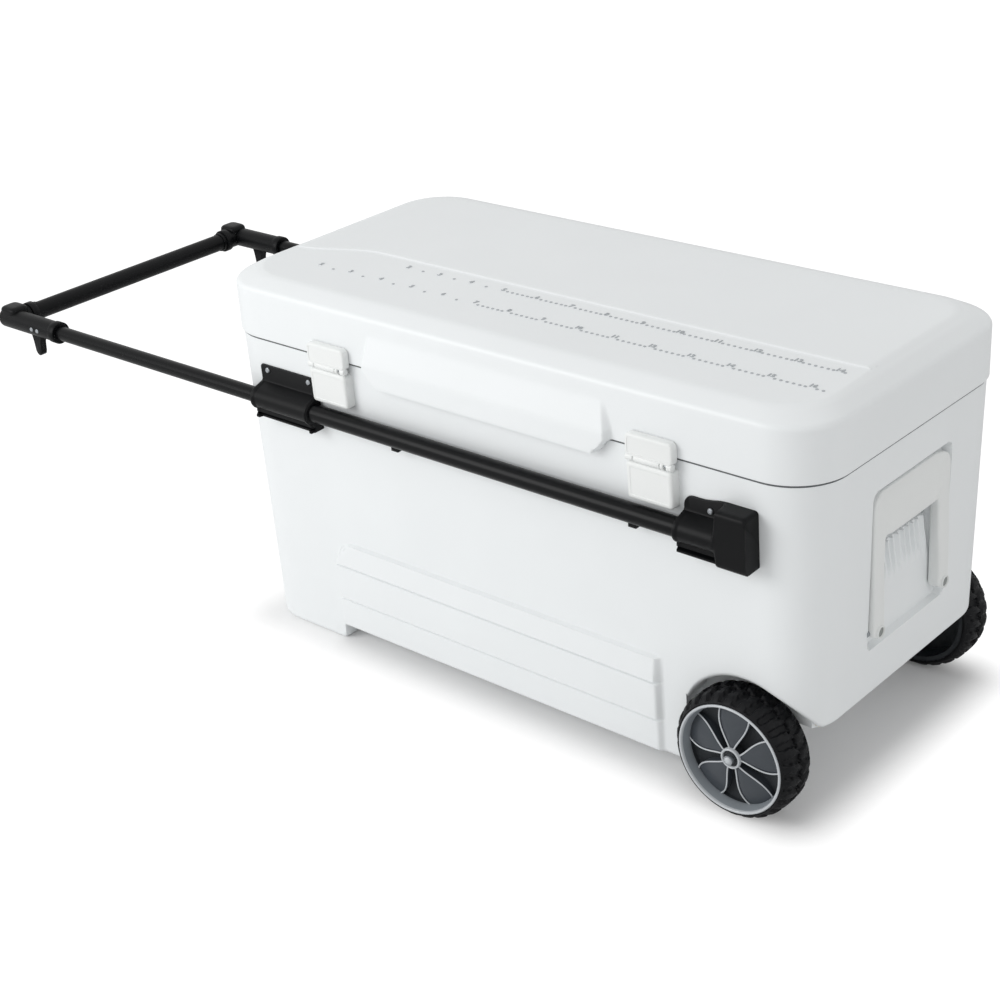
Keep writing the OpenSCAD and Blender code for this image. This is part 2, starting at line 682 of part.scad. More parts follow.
// Corner fitting: a sleeve on each tube, a round nose, end collars and a stop tab under the slide
module corner_fitting(side) at_side(side) translate([-reach, rail_y, rail_z])
    difference() {
        union() {
            rod_x(fitting_r, fitting_l);
            translate([fitting_l - collar_l, 0, 0]) rod_x(fitting_r + 1.5, collar_l);
            translate([0, -leg_y, 0]) rod_y(fitting_r + 0.5, leg_y);
            translate([0, -leg_y, 0]) rod_y(fitting_r + 3, 0.75 * collar_l);
            translate([-2, 0, 0]) rotate([0, -90, 0]) rotate_extrude($fn = 64)
                polygon([[0, -4], [fitting_r + 0.5, -4], [fitting_r + 0.5, 0.3 * nose_l], [fitting_r - 2, 0.65 * nose_l],
                    [fitting_r - 7, 0.9 * nose_l], [0, nose_l]]);
            sphere(r = fitting_r + 0.5, $fn = 48);
            // Stop tab with a round end
            translate([tab_x, 0, -fitting_r - tab_drop]) along_y(tab_r) {
                circle(tab_r, $fn = 32);
                translate([-tab_r, 0]) square([2 * tab_r, tab_drop + 4]);
            }
            // Block over the corner
            translate([-top_block[0] / 2, -0.7 * top_block[1], fitting_r + 6 - top_block[2]]) cube(top_block);
        }
        translate([slide_x0 + reach, 0, 0]) rod_x(slide_r + run, far);
        translate([0, -far / 2, 0]) rod_y(slide_r + run, far / 2 - 10);
        for (x = rivet_xs) translate([x + reach, 0, 0]) rod_y(rivet_r + run, far, 24);
    }

module fitting_rivets() placed() color(silver)
    for (side = [-1, 1], x = rivet_xs) at_side(side) translate([x, rail_y, rail_z]) {
        translate([0, slide_r + 0.3, 0]) rod_y(rivet_r, fitting_r - slide_r, 24);
        translate([0, fitting_r + 0.2, 0]) rotate([-90, 0, 0]) rotate_extrude($fn = 32)
            polygon([[0, -0.4], [rivet_r, -0.4], [rivet_r, 0], [3.4, 0], [2.6, 1.2], [0, 1.5]]);
    }

crossbar_l = 2 * (rail_y - 12);
grip_l = 2 * (rail_y - leg_y - side_room);
module crossbar_tube() placed() color(black) translate([-reach, 0, rail_z]) difference() {
    translate([0, -crossbar_l / 2, 0]) rod_y(slide_r, crossbar_l);
    translate([0, -crossbar_l / 2 - 1, 0]) rod_y(slide_r - tube_t, crossbar_l + 2);
}
module crossbar_grip() placed() color(black) translate([-reach, 0, rail_z]) difference() {
    union() {
        translate([0, -grip_l / 2, 0]) rod_y(grip_r, grip_l);
        for (y = [-grip_l / 2, grip_l / 2 - 6]) translate([0, y, 0]) rod_y(grip_r + 1.5, 6);
    }
    translate([0, -grip_l / 2 - 1, 0]) rod_y(slide_r + run, grip_l + 2);
}

module outer_tube_front() placed() color(black) outer_tube(-1);
module outer_tube_back() placed() color(black) outer_tube(1);
module guide_bracket_front() placed() color(black) guide_bracket(-1);
module guide_bracket_back() placed() color(black) guide_bracket(1);
module socket_bracket_front() placed() color(black) socket_bracket(-1);
module socket_bracket_back() placed() color(black) socket_bracket(1);
module slide_tube_front() placed() color(black) slide_tube(-1);
module slide_tube_back() placed() color(black) slide_tube(1);
module slide_bush_front() placed() color(black) slide_bush(-1);
module slide_bush_back() placed() color(black) slide_bush(1);
module corner_fitting_front() placed() color(black) corner_fitting(-1);
module corner_fitting_back() placed() color(black) corner_fitting(1);
module bracket_screws() placed() color(silver)
    for (side = [-1, 1], p = bracket_screws_at) rail_frame(side)
        translate([p[0], -rail_off + seat + bracket_t, p[1]]) screw(bracket_t + shell_t);

// ---- End handles ----
bail_pin_r = 4;
bail_axis_x = pocket_x - seat_depth + 0.5 + bail_t / 2;
arm_top_w = 24;

// Bail: two flat arms with barrel ends and a deep hand grip between them
module end_handle(end) at_end(end) translate([bail_axis_x, 0, bail_pivot_z])
    difference() {
        union() {
            for (side = [-1, 1]) at_side(side) {
                translate([0, bail_w / 2 - arm_w, 0]) rod_y(bail_t / 2, arm_w);
                translate([-bail_t / 2, 0, 0]) rotate([90, 0, 90]) linear_extrude(bail_t)
                    polygon([[bail_w / 2 - arm_w, 0], [bail_w / 2, 0], [bail_w / 2, bail_h - 30],
                        [bail_w / 2 - 9, bail_h - 12], [bail_w / 2 - arm_top_w, bail_h - 12],
                        [bail_w / 2 - arm_top_w, bail_h - grip_h], [bail_w / 2 - arm_w - 2, bail_h - grip_h - 14]]);
            }
            along_y(bail_w - 18)
                polygon([[-bail_t / 2, bail_h - grip_h + 6], [-bail_t / 2 + 4, bail_h - grip_h],
                    [bail_t / 2 - 1, bail_h - grip_h], [bail_t / 2 + 3, bail_h - grip_h + 6],
                    [bail_t / 2 + 3, bail_h - grip_h + 20], [bail_t / 2 - 3, bail_h - 6], [bail_t / 2 - 7, bail_h],
                    [-bail_t / 2 + 3, bail_h], [-bail_t / 2, bail_h - 4]]);
        }
        translate([0, -bail_w, 0]) rod_y(bail_pin_r + run, 2 * bail_w);
        // Dimple in the outer face of each barrel
        for (side = [-1, 1]) at_side(side)
            translate([bail_t / 2 - 1.2, bail_w / 2 - arm_w / 2, 0]) rod_x(5.5, 4, 32);
    }
module end_handle_left() placed() color(white) end_handle(-1);
module end_handle_right() placed() color(white) end_handle(1);
module end_handle_pins() placed() color(steel)
    for (end = [-1, 1], side = [-1, 1]) at_end(end) at_side(side)
        translate([bail_axis_x, bail_w / 2 - arm_w - 1, bail_pivot_z])
            rod_y(bail_pin_r, arm_w + 1 + (pocket_w - bail_w) / 2 + shell_t);

// ---- Wheels ----
tyre_y0 = track_w / 2 - tyre_w;
washer_t = 2;
hub_in_y = well_y + washer_t + 2 * side_room;
rim_y = track_w / 2;
dish = 26;
rim_step = 6;
hub_out_y = rim_y - 5;
web_y = rim_y - dish;
spoke_y = rim_y - 8;
boss_r = 14;
trim_r = rim_r - rim_step - 1;
axle_end = hub_out_y + 6;

// Circle through three points: [centre x, centre y, radius]
function circle_by(a, b, c) = let(
    d = 2 * (a[0] * (b[1] - c[1]) + b[0] * (c[1] - a[1]) + c[0] * (a[1] - b[1])),
    ux = ((a * a) * (b[1] - c[1]) + (b * b) * (c[1] - a[1]) + (c * c) * (a[1] - b[1])) / d,
    uy = ((a * a) * (c[0] - b[0]) + (b * b) * (a[0] - c[0]) + (c * c) * (b[0] - a[0])) / d)
    [ux, uy, norm(a - [ux, uy])];
// The edge of a petal spoke is one arc from beside the boss to the rim
half_angle = 90 / spokes;
edge_a = [boss_r + 0.6, 3.6];
edge_b = [trim_r * 0.5, trim_r * 0.21];
edge_c = [trim_r * cos(half_angle), trim_r * sin(half_angle)];
edge = circle_by(edge_a, edge_b, edge_c);
edge_from = atan2(edge_a[1] - edge[1], edge_a[0] - edge[0]);
edge_to = atan2(edge_c[1] - edge[1], edge_c[0] - edge[0]);
edge_steps = 8;
function edge_at(t, grow) = let(a = edge_from + (edge_to - edge_from) * t)
    [edge[0] + (edge[2] + grow) * cos(a), edge[1] + (edge[2] + grow) * sin(a)];

module petal() {
    upper = [for (i = [0 : edge_steps]) edge_at(i / edge_steps, 0)];
    lower = [for (i = [edge_steps : -1 : 0]) [edge_at(i / edge_steps, 0)[0], -edge_at(i / edge_steps, 0)[1]]];
    polygon(concat(upper, [[trim_r, 0]], lower));
}
// Bright edging along both sides of a petal
module petal_edging(w) {
    for (m = [0, 1]) mirror([0, m])
        polygon(concat([for (i = [0 : edge_steps]) edge_at(i / edge_steps, 0)],
            [for (i = [edge_steps : -1 : 0]) edge_at(i / edge_steps, -w)]));
}
module wheel_frame(side) at_side(side) translate([axle_x, 0, axle_z]) rotate([-90, 0, 0]) children();

// Hub: boss, dished web, rim and petal spokes, in dark plastic
module wheel_hub(side) wheel_frame(side)
    difference() {
        union() {
            rotate_extrude($fn = 96)
                polygon([[0, hub_in_y], [boss_r + 3, hub_in_y], [boss_r, web_y - 6], [rim_r - rim_step, web_y - 6],
                    [rim_r - rim_step, tyre_y0 + 2], [rim_r - 2, tyre_y0 + 2], [rim_r - 2, web_y + rim_step],
                    [trim_r - 1, web_y + rim_step], [trim_r - 4, web_y], [boss_r, web_y], [boss_r, hub_out_y],
                    [0, hub_out_y]]);
            for (i = [0 : spokes - 1]) rotate([0, 0, i * 360 / spokes - 90])
                translate([0, 0, web_y - 1]) linear_extrude(spoke_y - web_y + 1) petal();
        }
        cylinder(r = axle_r + run, h = far, $fn = 64);
    }

// Bright trim: the dished rim ring, the boss ring and the petals' edging
edging_w = 2;
module wheel_trim(side) wheel_frame(side) {
    rotate_extrude($fn = 96)
        polygon([[trim_r + seat, web_y + rim_step + seat], [rim_r - 2, web_y + rim_step + seat], [rim_r - 2, rim_y - 1],
            [rim_r - 3.5, rim_y], [rim_r - 5.5, rim_y], [trim_r + seat, spoke_y]]);
    rotate_extrude($fn = 64)
        polygon([[boss_r - 4, hub_out_y + seat], [boss_r + 1, hub_out_y + seat], [boss_r, hub_out_y + 2.5],
            [boss_r - 3, hub_out_y + 2.5]]);
    for (i = [0 : spokes - 1]) rotate([0, 0, i * 360 / spokes - 90])
        translate([0, 0, spoke_y + seat]) linear_extrude(2.2) petal_edging(edging_w);
}

// Tyre: rounded carcass with two staggered rows of slanted lugs
lug_h = 4;
module tyre(side) wheel_frame(side) {
    base_r = wheel_r - lug_h;
    outer = rim_y - 1;
    inner = tyre_y0 + 1;
    rotate_extrude($fn = 96)
        polygon([[rim_r - 2 + 0.1, inner + 2], [rim_r + 2, inner], [base_r - 4, inner + 1], [base_r, inner + 7],
            [base_r, outer - 7], [base_r - 3, outer - 2], [rim_r + 3, outer], [rim_r - 2 + 0.1, outer - 2]]);
    for (i = [0 : lugs - 1], row = [0, 1])
        rotate([0, 0, (i + row / 2) * 360 / lugs])
            translate([base_r - 2, 0, row == 0 ? inner + 3 : outer - 3])
                mirror([0, 0, row]) rotate([row == 0 ? 14 : -14, 0, 0]) {
                    len = tyre_w / 2 - 6;
                    translate([0, -4.6, 0]) cube([lug_h + 1.9, 9.2, len]);
                }
}

module axle() placed() color(steel)
    translate([axle_x, -axle_end, axle_z]) rod_y(axle_r, 2 * axle_end);
module axle_washers() placed() color(steel)
    for (side = [-1, 1]) wheel_frame(side) translate([0, 0, well_y + side_room]) difference() {
        cylinder(r = 13, h = washer_t, $fn = 48);
        translate([0, 0, -1]) cylinder(r = axle_r + run, h = washer_t + 2, $fn = 48);
    }
module axle_push_nuts() placed() color(silver)
    for (side = [-1, 1]) wheel_frame(side) translate([0, 0, hub_out_y + side_room]) difference() {
        rotate_extrude($fn = 48)
            polygon([[0, 0], [boss_r - 4.5, 0], [boss_r - 5, 3], [axle_r + 1.5, 7], [0, 7.8]]);
        translate([0, 0, -1]) cylinder(r = axle_r + run, h = axle_end - hub_out_y - side_room + 1 + run, $fn = 48);
    }

module wheel_hub_front() placed() color("#2b2d31") wheel_hub(-1);
module wheel_hub_back() placed() color("#2b2d31") wheel_hub(1);
module wheel_trim_front() placed() color(silver) wheel_trim(-1);
module wheel_trim_back() placed() color(silver) wheel_trim(1);
module tyre_front() placed() color(black) tyre(-1);
module tyre_back() placed() color(black) tyre(1);

// ---- Drain ----
drain_x = tub_len(drain_z) / 2;
flange_r = cap_r + 3;
spout_l = 16;
module drain_hole(r) translate([-drain_x - wall, 0, drain_z]) rod_x(r, 3 * wall, 48);
// Frame of the drain: origin on the end face, first axis pointing out of the tub
module drain_frame() translate([-drain_x, 0, drain_z]) rotate([0, -90, 0]) children();
module tube_z(r, bore, z, h) translate([0, 0, z]) difference() {
    cylinder(r = r, h = h, $fn = 48);
    translate([0, 0, -1]) cylinder(r = bore, h = h + 2, $fn = 48);
}

module drain_fitting() placed() color(white) drain_frame() {
    bore = drain_r - 2;
    difference() {
        union() {
            translate([0, 0, seat + 0.2]) cylinder(r = flange_r, h = 3, $fn = 64);
            translate([0, 0, -wall - 8]) cylinder(r = drain_r, h = wall + 10 + spout_l, $fn = 48);
        }
        translate([0, 0, -wall - 9]) cylinder(r = bore, h = wall + 20 + spout_l, $fn = 48);
    }
}
module drain_nut() placed() color(white) drain_frame() tube_z(nut_r, drain_r + run, -wall - 7, 6);
module drain_gasket() placed() color(black) drain_frame()
    tube_z(drain_r, drain_r - 2.2, spout_l + 2 + 0.05, 1.5);
// Screw cap with finger flats round its edge
module drain_cap() placed() color(white) drain_frame() difference() {
    translate([0, 0, seat + 0.2 + 3 + side_room]) cylinder(r = cap_r, h = spout_l + 4, $fn = 64);
    cylinder(r = drain_r + run, h = spout_l + 3.6, $fn = 48);
    for (i = [0 : 11]) rotate([0, 0, i * 30]) translate([cap_r + 2.4, 0, -1]) cylinder(r = 4, h = 60, $fn = 24);
}

// Holes for the screws that enter the tub's sides
module screw_holes() {
    for (side = [-1, 1], p = bracket_screws_at) rail_frame(side)
        translate([p[0], -rail_off - shell_t - 1, p[1]]) rod_y(screw_r + run, shell_t + 2, 24);
    for (x = latch_xs, dx = [-1, 1])
        translate([x + dx * pad_w / 4, -face_y(latch_screw_z) - 2, latch_screw_z]) rod_y(screw_r + run, shell_t + 4, 24);
    for (x = hinge_xs, dx = [-1, 1])
        translate([x + dx * hinge_l / 4, face_y(tub_screw_z) - shell_t - 2, tub_screw_z])
            rod_y(screw_r + run, shell_t + 4, 24);
}

tub_shell();
tub_foam();
tub_liner();
lid_shell();
lid_lip();
lid_foam();
lid_liner();
tub_hinge_leaves();
lid_hinge_leaves();
hinge_pins();
tub_hinge_screws();
lid_hinge_screws();
latch_base_left();
latch_base_right();
latch_left();
latch_right();
latch_pins();
latch_screws();
outer_tube_front();
outer_tube_back();
guide_bracket_front();
guide_bracket_back();
socket_bracket_front();
socket_bracket_back();
bracket_screws();
rail_clips();
slide_tube_front();
slide_tube_back();
slide_bush_front();
slide_bush_back();
corner_fitting_front();
corner_fitting_back();
fitting_rivets();
crossbar_tube();
crossbar_grip();
end_handle_left();
end_handle_right();
end_handle_pins();
axle();
axle_washers();
axle_push_nuts();
wheel_hub_front();
wheel_hub_back();
wheel_trim_front();
wheel_trim_back();
tyre_front();
tyre_back();
drain_fitting();
drain_nut();
drain_gasket();
drain_cap();
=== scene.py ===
# A wheeled ice chest with a pull-out tow handle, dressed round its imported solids.
# Lengths are in metres. X runs along the chest towards the wheels, Y from the front to the back, Z up.
import bpy
import numpy as np
from mathutils import Matrix, Vector


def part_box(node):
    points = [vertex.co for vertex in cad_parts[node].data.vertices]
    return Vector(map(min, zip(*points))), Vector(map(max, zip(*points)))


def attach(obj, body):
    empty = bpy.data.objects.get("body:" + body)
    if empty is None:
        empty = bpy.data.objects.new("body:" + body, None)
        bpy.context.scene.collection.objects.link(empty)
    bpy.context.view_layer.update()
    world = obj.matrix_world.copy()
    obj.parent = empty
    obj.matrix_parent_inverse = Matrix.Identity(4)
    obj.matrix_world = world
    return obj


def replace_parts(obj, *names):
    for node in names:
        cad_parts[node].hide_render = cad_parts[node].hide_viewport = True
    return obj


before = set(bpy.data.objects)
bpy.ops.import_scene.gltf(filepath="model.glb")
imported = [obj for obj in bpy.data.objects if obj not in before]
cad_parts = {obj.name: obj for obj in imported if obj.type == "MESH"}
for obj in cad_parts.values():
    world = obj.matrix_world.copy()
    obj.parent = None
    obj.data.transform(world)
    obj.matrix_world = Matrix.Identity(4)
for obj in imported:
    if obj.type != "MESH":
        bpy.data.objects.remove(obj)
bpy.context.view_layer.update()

# ---- Tub shell ----
# One hollow shell of white high-density polyethylene, moulded with its stepped skirt panels, wheel arches
# and end recesses. It leans in towards the ground, and its upright corners are broad.
shell_low, shell_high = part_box("tub_shell")
mid_x = (shell_low.x + shell_high.x) / 2
tub_h, rim_z, rim_flat, rolled_r = 0.46, 0.4568, 0.04, 0.008
base_l, base_w, base_r = 0.4795, 0.2105, 0.060
grow_l, grow_w, grow_r = 0.0075, 0.015, 0.010
axle_x, axle_z, arch_r = 0.388, 0.086, 0.094
foot_x, foot_r, belly_z, step_x, step_z, well_y = -0.3155, 0.010, 0.026, 0.300, 0.125, 0.1835
skirt_left, skirt_right, skirt_r, skirt_turn_z = -0.265, 0.264, 0.050, 0.122
skirt_left_run, skirt_right_run = 0.005, 0.009
# (height, how far it stands out) up the skirt's three bands and the two grooves between them.
skirt_profile = np.array([(0.0262, 0.0050), (0.0742, 0.0050), (0.0758, 0.0022), (0.0774, 0.0022),
                          (0.0790, 0.0074), (0.1312, 0.0074), (0.1328, 0.0040), (0.1344, 0.0040),
                          (0.1360, 0.0096), (0.1690, 0.0060), (0.1715, 0.0)])
# An outline is (half width, foot, top, corner radius), and the flat in it lies seat_x or pocket_x from the
# chest's middle.
seat_outline, seat_x = (0.091, 0.194, 0.406, 0.010), 0.4725
pocket_outline, pocket_x = (0.071, 0.196, 0.374, 0.006), 0.4845
# (height, further depth) down the back of the finger pocket, and the ribs on it.
pocket_slope = np.array([(0.196, 0.0), (0.290, 0.018), (0.312, 0.021), (0.315, 0.030), (0.374, 0.030)])
rib_pitch, rib_h, rib_foot_z, rib_full_z, rib_top_z = 0.012, 0.0045, 0.252, 0.270, 0.3135


def linear(hex_colour):
    """A #rrggbb colour as linear RGBA: the sRGB transfer curve undone."""
    srgb = np.array([int(hex_colour[i:i + 2], 16) for i in (1, 3, 5)]) / 255
    return (*np.where(srgb <= 0.04045, srgb / 12.92, ((srgb + 0.055) / 1.055) ** 2.4), 1.0)


def add(tree, kind, settings, links=None):
    """Adds a shader node, sets its properties and input sockets, and links inputs to (node, output) pairs."""
    node = tree.nodes.new("ShaderNode" + kind)
    for name, value in settings.items():
        if isinstance(name, str) and hasattr(node, name):
            setattr(node, name, value)
        else:
            node.inputs[name].default_value = value
    for name, (source, output) in (links or {}).items():
        tree.links.new(source.outputs[output], node.inputs[name])
    return node


def finish(name):
    """A new material and its empty node tree."""
    material = bpy.data.materials.new(name)
    material.use_nodes = True
    material.node_tree.nodes.clear()
    return material, material.node_tree


def moulded(name, colour, shade, roughness, grain, depth, ior=1.5):
    """Moulded plastic: an eroded grain with its bumps grain apart and up to depth high, a gloss that
    wanders by 0.06 either way with them, and a slow drift between two close tones, about 150 mm long."""
    material, tree = finish(name)
    place = add(tree, "TexCoord", {})
    drift = add(tree, "TexNoise", {"Scale": 1 / 0.15, "Detail": 2.0}, {"Vector": (place, "Object")})
    tone = add(tree, "Mix", {"data_type": "RGBA", 6: linear(colour), 7: linear(shade)}, {0: (drift, 0)})
    skin = add(tree, "TexNoise", {"Scale": 1 / grain, "Detail": 3.0}, {"Vector": (place, "Object")})
    gloss = add(tree, "MapRange", {"To Min": roughness - 0.06, "To Max": roughness + 0.06},
                {"Value": (skin, 0)})
    bump = add(tree, "Bump", {"Strength": 0.3, "Distance": depth}, {"Height": (skin, 0)})
    shader = add(tree, "BsdfPrincipled", {"IOR": ior},
                 {"Base Color": (tone, 2), "Roughness": (gloss, 0), "Normal": (bump, 0)})
    add(tree, "OutputMaterial", {}, {"Surface": (shader, 0)})
    return material


def grid(x, y, z, around=False):
    """A grid of points as (points, quads): each quad joins two neighbours in a row to the two above them."""
    x, y, z = np.broadcast_arrays(x, y, z)
    index = np.arange(x.size).reshape(x.shape)
    if around:
        index = np.concatenate([index, index[:, :1]], axis=1)
    quads = np.stack([index[:-1, :-1], index[:-1, 1:], index[1:, 1:], index[1:, :-1]], axis=-1)
    return np.stack([x, y, z], axis=-1).reshape(-1, 3), quads.reshape(-1, 4)


def piece(name, patches, material, body, sharp=35):
    """One mesh out of patches: points that meet within merge_size become one, and quads that closed up become
    triangles or go. Edges that turn by more than sharp degrees stay crisp. The patches are in the tub's own
    frame, whose middle is at mid_x."""
    merge_size = 2e-5
    start = np.cumsum([0] + [len(points) for points, quads in patches])
    quads = np.concatenate([q + s for (p, q), s in zip(patches, start)])
    points = np.concatenate([p for p, q in patches])
    keys = np.round(points / merge_size).astype(np.int64)
    first, new = np.unique(keys, axis=0, return_index=True, return_inverse=True)[1:]
    quads = new.ravel()[quads]
    same = quads == np.roll(quads, -1, axis=1)
    bad = (quads[:, 0] == quads[:, 2]) | (quads[:, 1] == quads[:, 3]) | (same.sum(axis=1) > 1)
    whole, three = ~bad & ~same.any(axis=1), ~bad & same.any(axis=1)
    triangles = quads[three][~same[three]].reshape(-1, 3)
    mesh = bpy.data.meshes.new(name)
    mesh.from_pydata(points[first] + (mid_x, 0, 0), [], quads[whole].tolist() + triangles.tolist())
    mesh.materials.append(material)
    mesh.polygons.foreach_set("use_smooth", np.ones(len(mesh.polygons), bool))
    mesh.set_sharp_from_angle(angle=np.radians(sharp))
    made = bpy.data.objects.new(name, mesh)
    bpy.context.scene.collection.objects.link(made)
    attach(made, body)
    return made


def ramp(a, b, t):
    """0 at a and 1 at b, with smooth ends: 3 s squared less 2 s cubed, where s is the share of the way."""
    s = np.clip((t - a) / (b - a), 0, 1)
    return s * s * (3 - 2 * s)


def tub_size(z):
    """Half length, half width and corner radius at height z: all three grow evenly from the ground up."""
    up = z / tub_h
    return base_l + grow_l * up, base_w + grow_w * up, base_r + grow_r * up


def ring_stations(along, across, turn_steps):
    """Stations round a rounded rectangle, anticlockwise from the front left: shares of its straight half
    length and half width, and the direction of the outward normal."""
    turn = np.linspace(0, 1, turn_steps + 2)[1:-1] * np.pi / 2
    sides = ((along, -1.0), (1.0, across), (along[::-1], 1.0), (-1.0, across[::-1]))
    corners = ((1.0, -1.0), (1.0, 1.0), (-1.0, 1.0), (-1.0, -1.0))
    rows = []
    for k, ((cx, cy), (kx, ky)) in enumerate(zip(sides, corners)):
        facing = (k - 1) * np.pi / 2
        rows.append(np.stack(np.broadcast_arrays(cx, cy, facing)).reshape(3, -1))
        rows.append(np.stack(np.broadcast_arrays(kx, ky, facing + turn)))
    return np.concatenate(rows, axis=1)


def ring_points(stations, half_l, half_w, r):
    """Point = straight share times (half size - r), plus r times the normal, at every level."""
    cx, cy, facing = stations
    return cx * (half_l - r) + r * np.cos(facing), cy * (half_w - r) + r * np.sin(facing)


def underside(x, arched):
    """Height of the lower edge over x: foot, belly, raised floor and, on the outside, the round wheel
    arch."""
    turn = np.clip(1 + (x - foot_x) / foot_r, 0, 1)
    toe = foot_r * (1 - np.sqrt(1 - turn ** 2))
    floor = np.where(x < foot_x, toe, np.where(x < step_x, belly_z, step_z))
    arch = axle_z + np.sqrt(np.clip(arch_r ** 2 - (x - axle_x) ** 2, 0, None))
    return np.where(arched & (x > step_x) & (x < axle_x + arch_r), np.maximum(floor, arch), floor)


def skirt_rise(x, z):
    """How far the skirt stands out: three bands with a groove between each two, every band set back under the
    one above, and the top one leaning back to a short edge. Its upper left corner is round, where
    left = skirt_left - sqrt(skirt_r squared - climb squared)."""
    left = skirt_left - np.sqrt(skirt_r ** 2 - np.clip(z - skirt_turn_z, 0, skirt_r) ** 2)
    edge = np.minimum(ramp(0, skirt_left_run, x - left), ramp(0, skirt_right_run, skirt_right - x))
    return edge * np.interp(z, *skirt_profile.T)


def box_field(y, z, half_w, z0, z1, r):
    """Signed distance to a rounded rectangle, negative inside."""
    dy = np.abs(y) - half_w + r
    dz = np.abs(z - (z0 + z1) / 2) - (z1 - z0) / 2 + r
    return np.hypot(np.clip(dy, 0, None), np.clip(dz, 0, None)) + np.minimum(np.maximum(dy, dz), 0) - r


def recess_depth(y, z, half_l):
    """Depth of an end recess: a flat seat for the handle and, behind its grip, a scoop for the fingers that
    slopes out to the lower edge, with upright ribs at its top. The walls run over 1.2 mm either way."""
    wall = 0.0012
    rib = ramp(0.2, 0.8, np.cos(2 * np.pi * y / rib_pitch)) * ramp(rib_foot_z, rib_full_z, z)
    slope = np.interp(z, *pocket_slope.T) - rib_h * rib * (z < rib_top_z)
    seat = (half_l - seat_x) * ramp(wall, -wall, box_field(y, z, *seat_outline))
    scoop = (half_l - pocket_x + slope) * ramp(wall, -wall, box_field(y, z, *pocket_outline))
    return np.maximum(seat, scoop)


def tub_skin():
    """Rows climb from the lower edge, first rolled round it and then at level heights, and each row is a
    rounded rectangle. The skirt and the recesses move points along the normal. Under it, lines run across
    from the front edge to the back one and step up into the wheel wells."""
    # Columns and rows are crowded where the foot, the skirt's ends and grooves, the step and the recesses
    # fall.
    along = np.concatenate([np.linspace(-1, -0.786, 9), np.linspace(-0.7805, -0.7555, 9), [-0.7540],
                            np.linspace(-0.75, -0.62, 24), np.linspace(-0.60, 0.58, 48),
                            np.linspace(0.59, 0.63, 9), np.linspace(0.64, 0.7149, 10), [0.7163],
                            np.linspace(0.720, 1, 50)])
    across = np.concatenate([-np.linspace(1, 0.66, 9)[:-1], np.linspace(-0.64, 0.64, 103),
                             np.linspace(0.66, 1, 9)[1:]])
    levels = np.concatenate([[0.012, 0.018], np.linspace(0.0345, 0.0715, 8), np.linspace(0.0734, 0.0798, 9),
                             np.linspace(0.086, 0.1285, 9), np.linspace(0.1304, 0.1368, 9),
                             np.linspace(0.142, 0.164, 6), np.linspace(0.166, 0.180, 15), [0.184, 0.188],
                             np.linspace(0.1925, 0.4085, 95), [0.42, 0.44, rim_z]])[:, None]
    turn_steps = 14
    stations = ring_stations(along, across, turn_steps)
    rolled = rolled_r * np.array([0, 0.07, 0.2, 0.38, 0.58, 0.8, 1])[:, None]
    near_x = ring_points(stations, *tub_size(0.05))[0]
    low = underside(near_x, True)[None, :]
    z = np.concatenate([low + rolled, np.maximum(levels, low + rolled_r)])
    half_l, half_w, r = tub_size(z)
    roll = rolled_r - np.sqrt(rolled_r ** 2 - (rolled_r - np.clip(z - low, 0, rolled_r)) ** 2)
    x, y = ring_points(stations, half_l - roll, half_w - roll, r - roll)
    nx, ny = np.cos(stations[2]), np.sin(stations[2])
    out = skirt_rise(x, z) * (np.abs(ny) > 0.99) * ramp(0, 0.004, z - low)
    out = out - recess_depth(y, z, half_l) * (np.abs(nx) > 0.99)
    x, y = x + out * nx, y + out * ny
    lip_x, lip_y = ring_points(stations, half_l[-1] - rim_flat, half_w[-1] - rim_flat, r[-1] - rim_flat)
    x, y, z = (np.concatenate(pair) for pair in ((x, lip_x[None]), (y, lip_y[None]), (z, z[-1:])))

    front = np.r_[-turn_steps - 1:0, 0:len(along) + turn_steps + 1]
    edge_x, edge_y, edge_z = x[0, front], y[0, front], z[0, front]
    inner_y = np.maximum(edge_y, -well_y)
    inner_z = underside(near_x[front], False)
    across_y = np.stack([-edge_y, -inner_y, -inner_y, inner_y, inner_y, edge_y])
    across_z = np.stack([edge_z, edge_z, inner_z, inner_z, edge_z, edge_z])
    return [grid(x, y, z, around=True), grid(edge_x[None], across_y, across_z)]


# White polyethylene is waxy: half matt, with wide soft highlights. Its grain is a few tenths of a millimetre
# and would not show, so it is drawn 1.4 mm apart.
polyethylene = moulded("moulded_polyethylene", "#edf0f1", "#e8ebec", 0.42, 0.0014, 0.00012)
tub_shell = piece("tub_shell_skin", tub_skin(), polyethylene, "tub")
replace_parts(tub_shell, "tub_shell")

# ---- Axle bosses ----
# Two thick bosses under the raised floor, one inside each wheel well, hold the ends of the axle. They are
# part of the shell's own polyethylene moulding.
boss_r, boss_length = 0.017, 0.030


def boss(side):
    """A round-bottomed block: a half circle below the axle and straight sides up to the floor, swept
    along Y."""
    turn = np.linspace(np.pi, 2 * np.pi, 33)
    x = np.concatenate([[-boss_r], boss_r * np.cos(turn), [boss_r]]) + axle_x
    z = np.concatenate([[step_z], axle_z + boss_r * np.sin(turn), [step_z]])
    y = np.sort(side * np.array([well_y, well_y - boss_length]))[::-1]
    middle_x, middle_z = np.full_like(x, axle_x), np.full_like(z, axle_z)
    caps = [grid(np.stack([x, middle_x][::flip]), end_y, np.stack([z, middle_z][::flip]))
            for end_y, flip in ((y[0], -1), (y[1], 1))]
    return [grid(x[None], y[:, None], z[None])] + caps


piece("axle_bosses", boss(-1) + boss(1), polyethylene, "tub")

